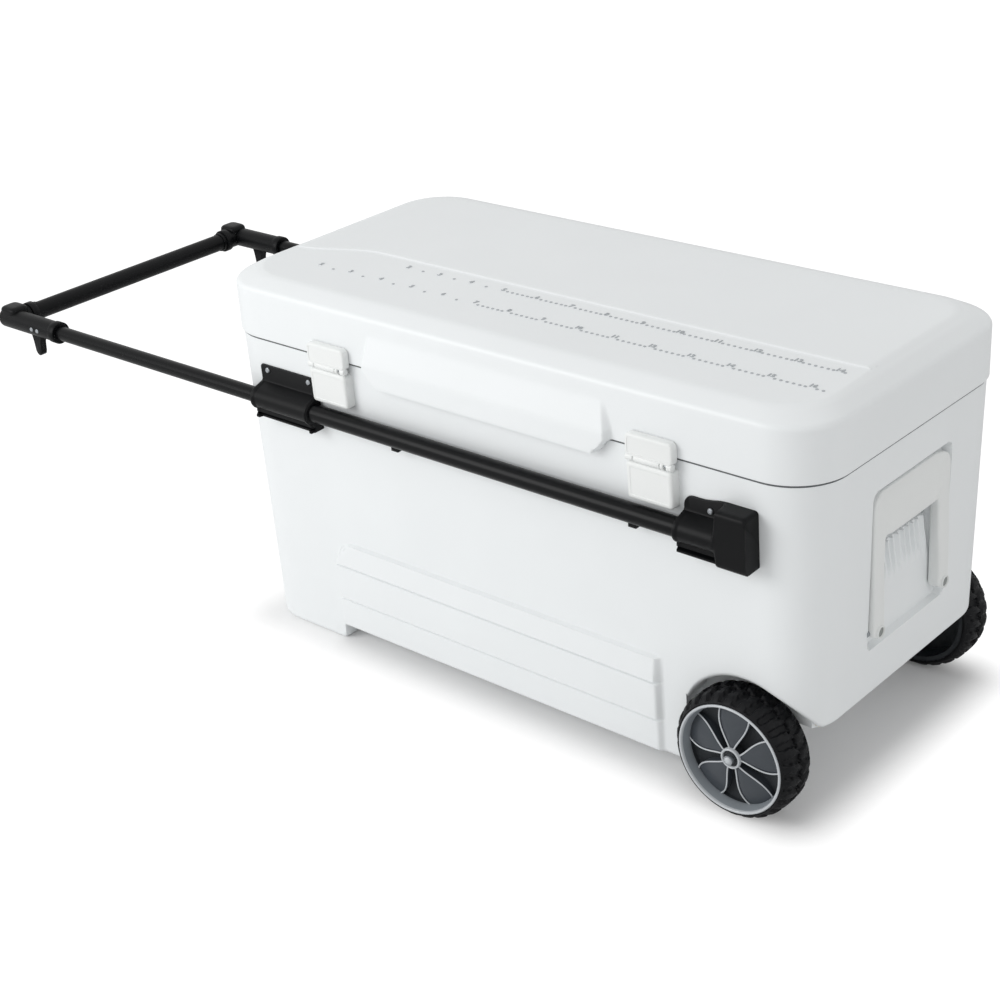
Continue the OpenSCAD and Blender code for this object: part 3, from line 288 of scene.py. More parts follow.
# ---- Finishes of the plainer parts ----
# Parts whose solids already have the real shape keep it and take a real surface: the liners, the foam, the
# hinges and the drain, powder-coated tube, nylon fittings and zinc-plated steel. The tub liner also carries
# painted shade on its flange's outer edge, for the shadow in the gap under the lid.
opening_half_l, opening_half_w = 0.46, 0.20


def dress(material, *names):
    """Gives CAD nodes this material in place of their plain one."""
    for name in names:
        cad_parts[name].data.materials.clear()
        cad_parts[name].data.materials.append(material)


def metal(name, colour, roughness, scratch):
    """Bare or plated metal: its relief, and a gloss that wanders by 0.08 either way, are broken by fine marks
    about as long as scratch."""
    material, tree = finish(name)
    place = add(tree, "TexCoord", {})
    skin = add(tree, "TexNoise", {"Scale": 1 / scratch, "Detail": 4.0}, {"Vector": (place, "Object")})
    gloss = add(tree, "MapRange", {"To Min": roughness - 0.08, "To Max": roughness + 0.08},
                {"Value": (skin, 0)})
    bump = add(tree, "Bump", {"Strength": 0.2, "Distance": 0.00004}, {"Height": (skin, 0)})
    shader = add(tree, "BsdfPrincipled", {"Metallic": 1.0, "Base Color": linear(colour)},
                 {"Roughness": (gloss, 0), "Normal": (bump, 0)})
    add(tree, "OutputMaterial", {}, {"Surface": (shader, 0)})
    return material


def trimmed_liner():
    """The liner's skin, and painted shade on the outer edge of its flange: a dark grey that stands in for the
    shadow in the gap between the lid and the tub. The edge is where a side faces outwards, at the rim's
    height and outside the opening."""
    material, tree = finish("vacuum_formed_liner_painted_gap_shade")
    place = add(tree, "TexCoord", {})
    skin = add(tree, "TexNoise", {"Scale": 1 / 0.0014, "Detail": 3.0}, {"Vector": (place, "Object")})
    at = add(tree, "SeparateXYZ", {}, {"Vector": (place, "Object")})
    facing = add(tree, "SeparateXYZ", {}, {"Vector": (add(tree, "NewGeometry", {}), "Normal")})
    along = add(tree, "Math", {"operation": "COMPARE", 1: mid_x, 2: opening_half_l}, {0: (at, 0)})
    across = add(tree, "Math", {"operation": "COMPARE", 1: 0.0, 2: opening_half_w}, {0: (at, 1)})
    inside = add(tree, "Math", {"operation": "MULTIPLY"}, {0: (along, 0), 1: (across, 0)})
    level = add(tree, "Math", {"operation": "COMPARE", 1: 0.0, 2: 0.5}, {0: (facing, 2)})
    high = add(tree, "Math", {"operation": "GREATER_THAN", 1: rim_z - 0.0002}, {0: (at, 2)})
    edge = add(tree, "Math", {"operation": "MULTIPLY"}, {0: (level, 0), 1: (high, 0)})
    painted_gap_shade = add(tree, "Math", {"operation": "SUBTRACT", "use_clamp": True}, {0: (edge, 0), 1: (inside, 0)})
    # The dark grey is painted shade: it marks the shadow in the gap between the lid and the tub.
    tone = add(tree, "Mix", {"data_type": "RGBA", 6: linear("#ebedee"), 7: linear("#55595b")},
               {0: (painted_gap_shade, 0)})
    bump = add(tree, "Bump", {"Strength": 0.3, "Distance": 0.0001}, {"Height": (skin, 0)})
    shader = add(tree, "BsdfPrincipled", {"Roughness": 0.35}, {"Base Color": (tone, 2), "Normal": (bump, 0)})
    add(tree, "OutputMaterial", {}, {"Surface": (shader, 0)})
    return material


dress(polyethylene, "lid_liner", "drain_fitting", "drain_nut", "drain_cap", "tub_hinge_leaves",
      "lid_hinge_leaves")
# Vacuum-formed sheet is a little glossier than the moulded shell. The outer edge of the tub liner's flange
# is painted dark grey as shade for the gap under the lid.
dress(trimmed_liner(), "tub_liner")
# Polyurethane foam is dull and cream-coloured. Its cells are drawn 2 mm across, larger than they are.
foam = moulded("polyurethane_foam", "#e8dcc0", "#dccfae", 0.85, 0.002, 0.0003)
dress(foam, "tub_foam", "lid_foam")
# Powder coat is a smooth black with an orange peel 0.6 mm across. Its index, and the nylon's, are below a
# plastic's 1.5, because a full one turns black grey in the white surround.
powder_coat = moulded("black_powder_coat", "#08090a", "#0b0c0e", 0.30, 0.0006, 0.00005, 1.22)
dress(powder_coat, "outer_tube_front", "outer_tube_back", "slide_tube_front", "slide_tube_back",
      "crossbar_tube")
# Moulded nylon is duller than the tubes, with an eroded grain of 0.8 mm.
nylon = moulded("black_nylon", "#08090a", "#0b0c0e", 0.40, 0.0008, 0.0001, 1.22)
dress(nylon, "rail_clips", "slide_bush_front", "slide_bush_back", "crossbar_grip", "drain_gasket")
# Zinc plate on steel is a bluish grey metal, clouded by handling marks about 2 mm long.
zinc = metal("zinc_plated_steel", "#a4a8ac", 0.35, 0.002)
dress(zinc, "hinge_pins", "latch_pins", "tub_hinge_screws", "lid_hinge_screws", "latch_screws",
      "bracket_screws", "fitting_rivets", "end_handle_pins", "axle", "axle_washers")

# ---- Lid shell ----
# The lid is moulded of polyethylene like the tub, filled with foam and hinged at the back. Its edge has a
# wide chamfer, a grip lip stands out along the front, and the top has a raised level field behind a
# sloping band.
lid_half_l, lid_half_w, lid_r, lid_z, edge_z = 0.490, 0.2285, 0.073, 0.4603, 0.5313
top_inset, top_r, top_z, top_ring = 0.026, 0.067, 0.5453, 0.034
field_rise, border_w, crease_share = 0.003, 0.014, 0.296
lip_half, lip_drop, lip_out, lip_back, turned_in = 0.185, 0.021, 0.011, 0.0016, 0.0012
side_z, side_top_z = 0.4750, 0.5190
# (height, half length) of the lip's outline, and (distance behind the crease, rise) over the sloping band.
lip_outline = np.array([(0.439, 0.187), (lid_z, 0.206), (0.473, 0.206), (0.509, 0.196)])
band_profile = np.array([(-0.1425, 0.0), (-0.0010, 0.0014), (0.0006, field_rise)])


def rounded(corners, radii, steps=5):
    """A polyline whose inner corners are replaced by short parabolas that start and end radius away from
    them: (1 - t) squared times a, plus 2 t (1 - t) times the corner, plus t squared times b."""
    corners = [np.array(c, float) for c in corners]
    out = [corners[0][None]]
    for before, here, after, r in zip(corners, corners[1:], corners[2:], radii):
        a = here + (before - here) / np.linalg.norm(before - here) * r
        b = here + (after - here) / np.linalg.norm(after - here) * r
        t = np.linspace(0, 1, steps + 1)[:, None]
        out.append((1 - t) ** 2 * a + 2 * t * (1 - t) * here + t ** 2 * b)
    return np.concatenate(out + [corners[-1][None]])


def crease_y(x):
    """The level field's front edge: straight, and drawn forwards by 40 mm at its left end."""
    return -0.057 - 0.040 * ramp(-0.33, -0.455, x)


def lid_top(x, y):
    """Height of the top: a narrow border all round rises to the level field, and before the field's front
    edge a step leads down to a band that slopes to the front."""
    inside = -box_field(x, y, lid_half_l - top_inset, top_inset - lid_half_w, lid_half_w - top_inset, top_r)
    band = np.interp(y - crease_y(x), *band_profile.T)
    return top_z + np.minimum(field_rise * ramp(0, border_w, inside), band)


def lid_skin():
    """Rows run from the underside round the lower edge, up the side and over the chamfer; on the front
    they also follow the lip down and out. The top is one grid whose rows are drawn together along the
    crease."""
    along = np.concatenate([np.linspace(-1, -0.54, 16), np.linspace(-0.525, -0.425, 36),
                            np.linspace(-0.40, 0.40, 26), np.linspace(0.425, 0.525, 36),
                            np.linspace(0.54, 1, 16)])
    across = np.concatenate([np.linspace(-1, -0.33, 16), [-0.302, -0.298, -0.294, -0.290],
                             np.linspace(-0.26, 1, 24)])
    turn_steps = 14
    stations = ring_stations(along, across, turn_steps)
    front = (np.abs(np.sin(stations[2]) + 1) < 1e-9)
    edge_x = ring_points(stations, lid_half_l, lid_half_w, lid_r)[0]
    drop = front * ramp(lip_half + 0.023, lip_half - 0.002, np.abs(edge_x))
    low = lid_z - lip_drop * drop
    over_edge = rounded([(0, side_z), (0, edge_z), (top_inset, top_z), (top_ring, top_z)], [0.006, 0.007], 6)
    upright = np.stack([np.zeros(12), np.linspace(side_z, side_top_z, 12)], axis=1)
    side = np.concatenate([upright, over_edge[1:-1]])
    inset = np.concatenate([[0.003, turned_in, turned_in, turned_in, 0.0003, 0.0], np.zeros(8),
                            side[:, 0]])[:, None]
    z = np.concatenate([0 * low + [[lid_z], [lid_z]], low + [[0.0], [0.0], [0.0003], [turned_in]],
                        low + turned_in + (side_z - low - turned_in) * np.linspace(0, 1, 9)[1:, None],
                        0 * low + side[:, 1:]])
    wide = np.interp(z, *lip_outline.T)
    out = lip_out * np.interp(z, [0.469, 0.509], [1, 0])
    out = out * ramp(wide + 0.002, wide - 0.006, np.abs(edge_x)) * front
    out[:3] = np.array([[0.0], [lip_back], [lip_back]]) * drop
    r = np.interp(inset, [0, top_inset, 0.04], [lid_r, top_r, top_r - 0.014])
    x, y = ring_points(stations, lid_half_l - inset, lid_half_w - inset, r)
    y = y - out
    z = z + lid_top(x, y) - top_z
    skin = grid(x, y, z, around=True)

    columns = np.r_[-turn_steps - 1:0, 0:len(along) + turn_steps + 1]
    top_x = x[-1, columns]
    half = -y[-1, columns]
    v = across[:, None]
    share = np.minimum((v + 1) / (1 - crease_share), (1 - v) / (1 + crease_share))
    pull = (crease_y(top_x) + crease_share * half) * (np.abs(top_x) < np.abs(top_x).max() - 1e-6)
    top_y = v * half + share * pull
    return [skin, grid(top_x[None], top_y, lid_top(top_x[None], top_y))]


lid_shell = piece("lid_shell_skin", lid_skin(), polyethylene, "lid", sharp=50)
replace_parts(lid_shell, "lid_shell", "lid_lip")

# ---- Ruler on the lid ----
# Two rows of numerals with dots between them are moulded a little proud of the sloping band and printed grey,
# so that a catch can be measured on the lid. From near the middle of the lid on the dots are dense.
pitch, dot_r, dense_x, ruler_end_x = 0.057, 0.0021, -0.09, 0.445
dense_steps, sparse_steps = (0.6, 1.2, 1.8, 2.4, 3.0, 3.5), (2,)
# Each row: its first numeral's place, how many there are, their height, and how far before them the dots lie.
ruler_rows = ((-0.371, -0.133, 15, 0.011, 0.006), (-0.255, -0.079, 13, 0.012, 0.003))


def printed(name, colour, shade):
    """Thin pad print on moulded plastic: the ink's tone breaks up over 3 mm, where it wore off the grain."""
    material, tree = finish(name)
    place = add(tree, "TexCoord", {})
    wear = add(tree, "TexNoise", {"Scale": 1 / 0.003, "Detail": 4.0}, {"Vector": (place, "Object")})
    tone = add(tree, "Mix", {"data_type": "RGBA", 6: linear(colour), 7: linear(shade)}, {0: (wear, 0)})
    bump = add(tree, "Bump", {"Strength": 0.2, "Distance": 0.0001}, {"Height": (wear, 0)})
    shader = add(tree, "BsdfPrincipled", {"Roughness": 0.5}, {"Base Color": (tone, 2), "Normal": (bump, 0)})
    add(tree, "OutputMaterial", {}, {"Surface": (shader, 0)})
    return material


def dot(x, y, r):
    """A flat-topped button: rings that climb from the lid's top, turn in and close at the middle."""
    turn = np.linspace(0, 2 * np.pi, 17)[None, :-1]
    radii = r * np.array([1, 1, 0.85, 0])[:, None]
    rise = np.array([-0.0004, 0.0004, 0.0007, 0.0007])[:, None]
    px, py = x + radii * np.cos(turn), y + radii * np.sin(turn)
    return grid(px, py, lid_top(px, py) + rise, around=True)


def numeral(number, height, x, y):
    """A number 1 mm thick, sunk a little into the lid's top. Each triangle is a quad whose last corner is
    double."""
    letters = bpy.data.curves.new("numeral", "FONT")
    letters.body, letters.size, letters.extrude = str(number), height, 0.0005
    letters.align_x, letters.align_y = "CENTER", "CENTER"
    letters.offset, letters.resolution_u = 0.0002, 3
    holder = bpy.data.objects.new("numeral", letters)
    solid = holder.to_mesh()
    at = np.empty(len(solid.vertices) * 3)
    solid.vertices.foreach_get("co", at)
    at = at.reshape(-1, 3) + (x, y, 0)
    at[:, 2] += lid_top(at[:, 0], at[:, 1]) + 0.0003
    solid.calc_loop_triangles()
    corners = np.array([t.vertices[:] for t in solid.loop_triangles])
    holder.to_mesh_clear()
    bpy.data.objects.remove(holder)
    return at, np.concatenate([corners, corners[:, 2:]], axis=1)


marks = []
for row_x, row_y, count, height, dots_before in ruler_rows:
    for i in range(count):
        x = row_x + i * pitch
        dots_x = [x + k * pitch / 4 for k in (dense_steps if x > dense_x else sparse_steps)]
        marks += [dot(dot_x, row_y - dots_before, dot_r) for dot_x in dots_x if dot_x < ruler_end_x]
        marks.append(numeral(i + 2, height, x, row_y))
# Grey pad print is flat and matt, and a little paler where it is worn.
print_grey = printed("pad_print_grey", "#a4a9ac", "#b7bbbe")
piece("lid_ruler", marks, print_grey, "lid", sharp=30)

# ---- Wheels ----
# Each wheel has a blow-moulded tyre of hard black plastic with staggered lugs, pressed on a dark hub. The
# hub's face is a dished web with five petal spokes, and bright paint marks the rim, the boss and the
# petals' edges.
rim_y, rim_r, tyre_r, hub_boss_r, face_r = 0.2515, 0.0753, 0.0860, 0.0140, 0.0672
tread_mid, crown_mid, crown_half, lug_h, web_back = 0.0315, 0.031, 0.0275, 0.0042, 0.0262
spoke_count, lug_count, bead_w, bead_h = 5, 26, 0.00105, 0.0009


def round_grid(x, y, z, way):
    """A grid that closes round. Its rows are taken forwards for way 1 and backwards for way -1, so that the
    faces point outwards on either side of the chest."""
    rows = slice(None, None, int(way))
    return grid(x[rows], y[rows], z[rows], around=True)


def turned(profile, side, steps=96, wave=None):
    """A profile of (radius, depth inwards from the rim) turned round the axle; wave adds to the radius."""
    turn = np.linspace(0, 2 * np.pi, steps + 1)[None, :-1]
    r, depth = np.array(profile, float).T[:, :, None]
    if wave is not None:
        r = r + wave(turn, depth)
    x, z = axle_x + r * np.cos(turn), axle_z + r * np.sin(turn)
    return round_grid(x, side * (rim_y - depth) + 0 * turn, z, -side)


def capped(*planes):
    """The same rows with one more at each end, drawn to that row's middle, so that fans close the piece."""
    return [np.concatenate([p[:1] * 0 + p[:1].mean(), p, p[-1:] * 0 + p[-1:].mean()]) for p in planes]


def lugs(turn, depth):
    """Lug height over the tread: two staggered rows of slanted blocks with a zigzag groove between them,
    which sink to the carcass at the bead."""
    row = np.where(depth < tread_mid, 1.0, -1.0)
    slant = row * (depth - tread_mid) * 14
    block = np.cos(lug_count * turn + slant * 3 + np.pi / 2 * (row + 1))
    zigzag = np.abs(depth - tread_mid - 0.004 * np.sin(lug_count * turn))
    fine = 0.25 * ramp(0.93, 0.99, np.cos(lug_count * 3 * turn + slant * 6))
    tread = ramp(-0.35, 0.0, block) * ramp(0.0008, 0.0026, zigzag) - fine * (block > 0.2)
    return lug_h * (tread - 1) * ramp(0.0025, 0.0045, np.minimum(depth - 0.0010, 0.0600 - depth))


def half_angle(r):
    """Half the angle of a petal at radius r: a parabola that swells from the boss and draws in at the rim."""
    share = (r - hub_boss_r) / (face_r - hub_boss_r)
    return np.radians(14 + share * (35.5 - 31.5 * share))


def face_depth(r):
    """Depth of the petals under the rim: level at the boss and falling away to the foot of the rim's band."""
    return 0.0075 + 0.0075 * np.clip((r - hub_boss_r) / (face_r - hub_boss_r), 0, 1) ** 2.2


def spoke_turn(k):
    """The direction of spoke k: the first points straight up."""
    return 2 * np.pi * k / spoke_count + np.pi / 2


def petals(side):
    """For each petal a grid over radius and share of its half angle; its edges roll down to the web."""
    share = np.array([-1, -1, -0.985, -0.96, -0.8, -0.5, -0.2, 0.2, 0.5, 0.8, 0.96, 0.985, 1, 1])[:, None]
    down = np.array([0.012, 0.0016, 0.0004, 0, 0, 0, 0, 0, 0, 0, 0, 0.0004, 0.0016, 0.012])[:, None]
    r = np.linspace(hub_boss_r - 0.001, face_r + 0.0006, 26)[None]
    out = []
    for k in range(spoke_count):
        turn = spoke_turn(k) + share * half_angle(r)
        x, z = axle_x + r * np.cos(turn), axle_z + r * np.sin(turn)
        y = side * (rim_y - face_depth(r) - down - 0.001 * share ** 2)
        out.append(round_grid(*capped(x.T, np.broadcast_to(y, x.shape).T, z.T), side))
    return out


def edging(side):
    """A bead of bright paint carried along both edges of every petal: an ellipse round the edge line, bead_w
    to either side of it and bead_h in and out."""
    turn = np.linspace(0, 2 * np.pi, 9)[:-1, None]
    r = np.linspace(hub_boss_r, face_r + 0.0006, 30)[None]
    out = []
    for k in range(spoke_count):
        for edge in (-1, 1):
            at = spoke_turn(k) + edge * half_angle(r)
            px, pz = r * np.cos(at), r * np.sin(at)
            tx, tz = np.gradient(px[0])[None], np.gradient(pz[0])[None]
            size = np.hypot(tx, tz)
            x = axle_x + px - tz / size * bead_w * np.cos(turn)
            z = axle_z + pz + tx / size * bead_w * np.cos(turn)
            y = side * (rim_y - face_depth(r) + bead_h * np.sin(turn))
            out.append(round_grid(*capped(x.T, y.T, z.T), -side))
    return out


# Every profile below is (radius, depth inwards from the rim's front) in section through the wheel.
tread_depths = np.concatenate([np.linspace(0.0045, 0.0270, 16), np.linspace(0.0280, 0.0350, 12),
                               np.linspace(0.0362, 0.0575, 15)])
crown = tyre_r - 0.0075 * (np.abs(tread_depths - crown_mid) / crown_half) ** 4
tyre_profile = np.concatenate([
    [[rim_r - 0.0016, 0.0600], [rim_r + 0.0012, 0.0605], [tyre_r - 0.0085, 0.0598]],
    np.stack([crown, tread_depths], axis=1)[::-1],
    [[tyre_r - 0.0082, 0.0028], [tyre_r - 0.0092, 0.0020], [rim_r + 0.0012, 0.0016],
     [rim_r - 0.0016, 0.0022], [rim_r - 0.0018, 0.0300], [rim_r - 0.0016, 0.0600]]])
rim_lip = [[0.0703, 0.0040], [0.0709, 0.0014], [0.0716, 0.0003], [0.0728, 0.0000], [0.0739, 0.0005],
           [0.0744, 0.0016], [rim_r - 0.0010, 0.0030], [rim_r - 0.0012, 0.0200], [0.0703, 0.0200],
           [0.0703, 0.0040]]
rim_band = [[face_r, 0.0200], [face_r, 0.0155], [face_r + 0.0004, 0.0120], [0.0702, 0.0036],
            [0.0710, 0.0040], [0.0710, 0.0200], [face_r, 0.0200]]
boss_ring = [[0.0108, 0.0070], [0.0110, 0.0042], [0.0117, 0.0034], [0.0130, 0.0034], [0.0138, 0.0042],
             [0.0141, 0.0080], [0.0108, 0.0070]]
web = [[0, 0.0064], [0.0110, 0.0060], [0.0140, 0.0200], [0.0400, 0.0215], [face_r - 0.001, 0.0200],
       [face_r + 0.0002, 0.0150], [face_r + 0.0002, web_back], [0, web_back]]
inner_hub = [[rim_r - 0.0018, web_back], [rim_r - 0.0018, 0.0590], [face_r, 0.0590], [face_r, 0.0300],
             [0.0180, 0.0280], [0.0165, 0.0645], [0.0064, 0.0650], [0.0064, web_back],
             [rim_r - 0.0018, web_back]]
axle_cap = [[0, -0.0030], [0.0026, -0.0027], [0.0042, -0.0018], [0.0050, -0.0002], [0.0056, 0.0004],
            [0.0058, 0.0070], [0, 0.0070]]
# The tyre is nearly black and dull, with a coarse skin whose bumps are 3.5 mm apart.
tyre_plastic = moulded("blow_moulded_tyre", "#07080a", "#0c0d10", 0.5, 0.0035, 0.0004, 1.26)
# The hub's sunk web is stippled every 2.2 mm, which makes it matt and speckled beside the smooth petals.
web_plastic = moulded("stippled_hub_plastic", "#1d2023", "#2b2f33", 0.55, 0.0022, 0.0011, 1.4)
petal_plastic = moulded("smooth_hub_plastic", "#41464c", "#393e44", 0.34, 0.0008, 0.00006, 1.45)
# Silver paint scatters light like a pale grey plastic with a sheen. On the band inside the rim it is a
# darker grey.
silver_paint = moulded("silver_paint", "#c6cacd", "#b9bdc1", 0.30, 0.0010, 0.00008, 1.6)
band_paint = moulded("darker_silver_paint", "#8e9499", "#7f858b", 0.42, 0.0012, 0.0002, 1.5)
for name, side in (("front", -1.0), ("back", 1.0)):
    body = name + "_wheel"
    tyre = piece("tyre_skin_" + name, [turned(tyre_profile, side, lug_count * 14, lugs)], tyre_plastic, body,
                 sharp=60)
    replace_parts(tyre, "tyre_" + name)
    hub = piece("hub_web_" + name, [turned(web[::-1], side), turned(inner_hub[::-1], side)], web_plastic,
                body)
    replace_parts(hub, "wheel_hub_" + name)
    piece("hub_petals_" + name, petals(side), petal_plastic, body, sharp=50)
    piece("rim_band_" + name, [turned(rim_band[::-1], side)], band_paint, body, sharp=50)
    bright = piece("wheel_edging_" + name, [turned(rim_lip[::-1], side), turned(boss_ring[::-1], side)]
                   + edging(side), silver_paint, body, sharp=50)
    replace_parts(bright, "wheel_trim_" + name)
caps = piece("axle_caps", [turned(axle_cap[::-1], side, 48) for side in (-1.0, 1.0)], silver_paint, "tub",
             sharp=50)
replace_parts(caps, "axle_push_nuts")

# ---- Rail brackets ----
# The outer tubes are held by two moulded nylon brackets a side: an open guide that the handle slides out
# of, and a closed socket at the wheel end. Each is a plate screwed to the tub with a half-round cover
# over the tube.
rail_y, rail_z, lean = 0.2366, 0.375, np.arctan2(grow_w, tub_h)
cover_r, plate_y, plate_t, block_reach = 0.0167, -0.0137, 0.003, 0.0152
plate_top, plate_foot, outline_count = 0.045, -0.029, 35
guide_x0, guide_x1, socket_x0, socket_x1 = -0.4150, -0.3040, 0.3110, 0.4140


def placed_on_rail(side, x, y, z):
    """From a rail's own frame, upright and centred on its tube, to the tub's side, which leans out."""
    return (x, side * (rail_y + y * np.cos(lean) + z * np.sin(lean)),
            rail_z + z * np.cos(lean) - y * np.sin(lean))


def cover_profile(top, r, lip):
    """Outline over the tube from the top of the plate down to its foot, as (outwards, up): plate,
    shoulder, half round and a lip along the foot. It has outline_count points."""
    turn = np.linspace(0.40 * np.pi, -0.36 * np.pi, 22)
    arc = np.stack([r * np.cos(turn), r * np.sin(turn)], axis=1)
    front = plate_y + plate_t
    upper = [(plate_y, top), (front - 0.0008, top), (front, top - 0.0010), (front, 0.0235),
             (front + 0.0015, 0.0205)]
    lower = [(r * 0.45, -0.0205), (0.0025, -0.0215), (0.0020, -0.0240), (lip - 0.002, -0.0243),
             (lip, -0.0255), (lip, -0.0280), (lip - 0.001, plate_foot), (plate_y, plate_foot)]
    return np.concatenate([upper, arc, lower])


def block_profile(top, reach):
    """The same number of points, evenly spaced round the closed end block, whose corners are round."""
    corners = [(plate_y, top), (reach, top), (reach, plate_foot), (plate_y, plate_foot)]
    line = rounded(corners, [0.006, 0.006], 10)
    step = np.concatenate([[0], np.cumsum(np.hypot(*np.diff(line, axis=0).T))])
    at = np.linspace(0, step[-1], outline_count)
    return np.stack([np.interp(at, step, line[:, k]) for k in (0, 1)], axis=1)


def bracket_skin(side, x, top, r, lip, block):
    """The outline is carried along the tube: top, r and lip are its sizes at each x, and block blends it
    into the end block. Both ends are closed by fans about a point on the plate's back, level with the
    tube."""
    rows = []
    for top_here, r_here, lip_here, share in zip(top, r, lip, block):
        tube = cover_profile(top_here, r_here, lip_here)
        rows.append(tube + share * (block_profile(top_here, block_reach) - tube))
    x = np.concatenate([x[:1], x, x[-1:]])[:, None]
    y, z = (np.concatenate([0 * p[:1] + middle, p, 0 * p[:1] + middle])
            for p, middle in zip(np.moveaxis(np.array(rows), 2, 0), (plate_y, 0.0)))
    order = slice(None, None, -int(side))
    return grid(*(a[:, order] for a in np.broadcast_arrays(*placed_on_rail(side, x, y, z))), around=True)


def end_round(x, x0, x1, r0, r1):
    """How far a round corner of radius r0 at x0 and r1 at x1 lowers a straight edge: r - sqrt(r squared - a
    squared), where a is how far x is into the corner."""
    a, b = np.clip(r0 - (x - x0), 0, r0), np.clip(r1 - (x1 - x), 0, r1)
    return r0 - np.sqrt(r0 ** 2 - a ** 2) + r1 - np.sqrt(r1 ** 2 - b ** 2)


def close(a, b, count):
    """Stations from a to b, crowded at both ends for the rounding there: half of 1 - cos."""
    return a + (b - a) * (1 - np.cos(np.linspace(0, np.pi, count))) / 2


for name, side in (("front", -1.0), ("back", 1.0)):
    x = np.sort(np.concatenate([close(guide_x0, guide_x1, 40), [-0.3105, -0.3100, -0.3062, -0.3057]]))
    bead = ramp(-0.3106, -0.3098, x) * ramp(-0.3052, -0.3064, x) + ramp(-0.4095, -0.4105, x)
    top = plate_top - end_round(x, guide_x0, guide_x1, 0.003, 0.012)
    r = cover_r - 0.0006 + 0.0016 * bead - 0.5 * end_round(x, guide_x0, guide_x1, 0.001, 0.001)
    guide = bracket_skin(side, x, top, r, 0.0045 + 0.0055 * bead, np.zeros_like(x))
    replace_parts(piece("guide_bracket_skin_" + name, [guide], nylon, "tub", sharp=40),
                "guide_bracket_" + name)
    x = np.sort(np.concatenate([close(socket_x0, socket_x1, 40), np.linspace(0.366, 0.374, 8)]))
    bead = ramp(0.3165, 0.3155, x)
    top = 0.0400 + 0.0050 * ramp(0.335, 0.372, x) - end_round(x, socket_x0, socket_x1, 0.012, 0.005)
    r = cover_r - 0.0010 + 0.0012 * bead - 0.5 * end_round(x, socket_x0, socket_x1, 0.001, 0.002)
    socket = bracket_skin(side, x, top, r, np.full_like(x, 0.0080), ramp(0.3660, 0.3725, x))
    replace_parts(piece("socket_bracket_skin_" + name, [socket], nylon, "tub", sharp=40),
                "socket_bracket_" + name)

# ---- Corner fittings ----
# The crossbar meets the sliding tubes in two moulded nylon corners, each riveted twice through its tube.
# A stop tab hangs under each, which keeps the handle from sliding in too far.
corner_x, leg_end, fitting_end = -0.980, 0.2006, -0.864
nose_r, nose_x, barrel_end_r, cuff_r, arm_cuff_r = 0.0158, -0.0300, 0.0156, 0.0171, 0.0184
tab_x, tab_half_t, tab_tip_z, tab_tip_r, tab_top_z, tab_mid_z = -0.9240, 0.0055, 0.3264, 0.0072, 0.362, 0.350


def revolve(axis, start, profile, flip):
    """A profile of (distance along the axis, radius) turned round a line through start, along X or Y. Where
    flip is true its faces are turned round."""
    turn = np.linspace(0, 2 * np.pi, 57)[None, :-1]
    along, r = np.array(profile, float).T[:, :, None]
    across, up = r * np.cos(turn), start[2] + r * np.sin(turn)
    if flip:
        across, up = across[:, ::-1], up[:, ::-1]
    if axis == "x":
        return grid(start[0] + along + 0 * turn, start[1] + across, up, around=True)
    return grid(start[0] + across, start[1] + along + 0 * turn, up, around=True)


def bend(v, power):
    """v with its size raised to a power and its sign kept: with a low power it squares up a circle."""
    return np.sign(v) * np.abs(v) ** power


def cushion(centre, half, power):
    """A rounded block: a sphere's two angles, with their sines and cosines raised to a low power."""
    up = np.linspace(-np.pi / 2, np.pi / 2, 33)[:, None]
    turn = np.linspace(0, 2 * np.pi, 65)[None, :-1]
    level = bend(np.cos(up), power) * (np.abs(up) < np.pi / 2 - 1e-6)
    return grid(centre[0] + half[0] * level * bend(np.cos(turn), power),
                centre[1] + half[1] * level * bend(np.sin(turn), power),
                centre[2] + half[2] * bend(np.sin(up), power) + 0 * turn, around=True)


def stop_tab(side, x, half_t):
    """The tab is a hooked plate: its outline narrows, leans towards the chest and ends round; its rim is
    bevelled, and fans about its middle close both faces."""
    turn = np.linspace(np.pi, 2 * np.pi, 17)
    tip = np.array([x, tab_tip_z + 0.0075])
    middle = np.array([x, tab_mid_z])
    outline = np.concatenate([[(x - 0.0125, tab_top_z)], [(x - 0.0095, 0.350)],
                              tip + tab_tip_r * np.stack([np.cos(turn), np.sin(turn)], axis=1),
                              [(x + 0.0085, 0.348)], [(x + 0.0125, tab_top_z)]])
    inner = outline + (middle - outline) * 0.10
    centre = middle + 0 * inner
    loops = [(centre, -half_t), (inner, -half_t), (outline, -half_t + 0.001),
             (outline, half_t - 0.001), (inner, half_t), (centre, half_t)]
    px = np.array([line[:, 0] for line, depth in loops])
    pz = np.array([line[:, 1] for line, depth in loops])
    py = side * (rail_y - 0.0005 + np.array([depth for line, depth in loops]))[:, None] + 0 * px
    return round_grid(px, py, pz, -side)


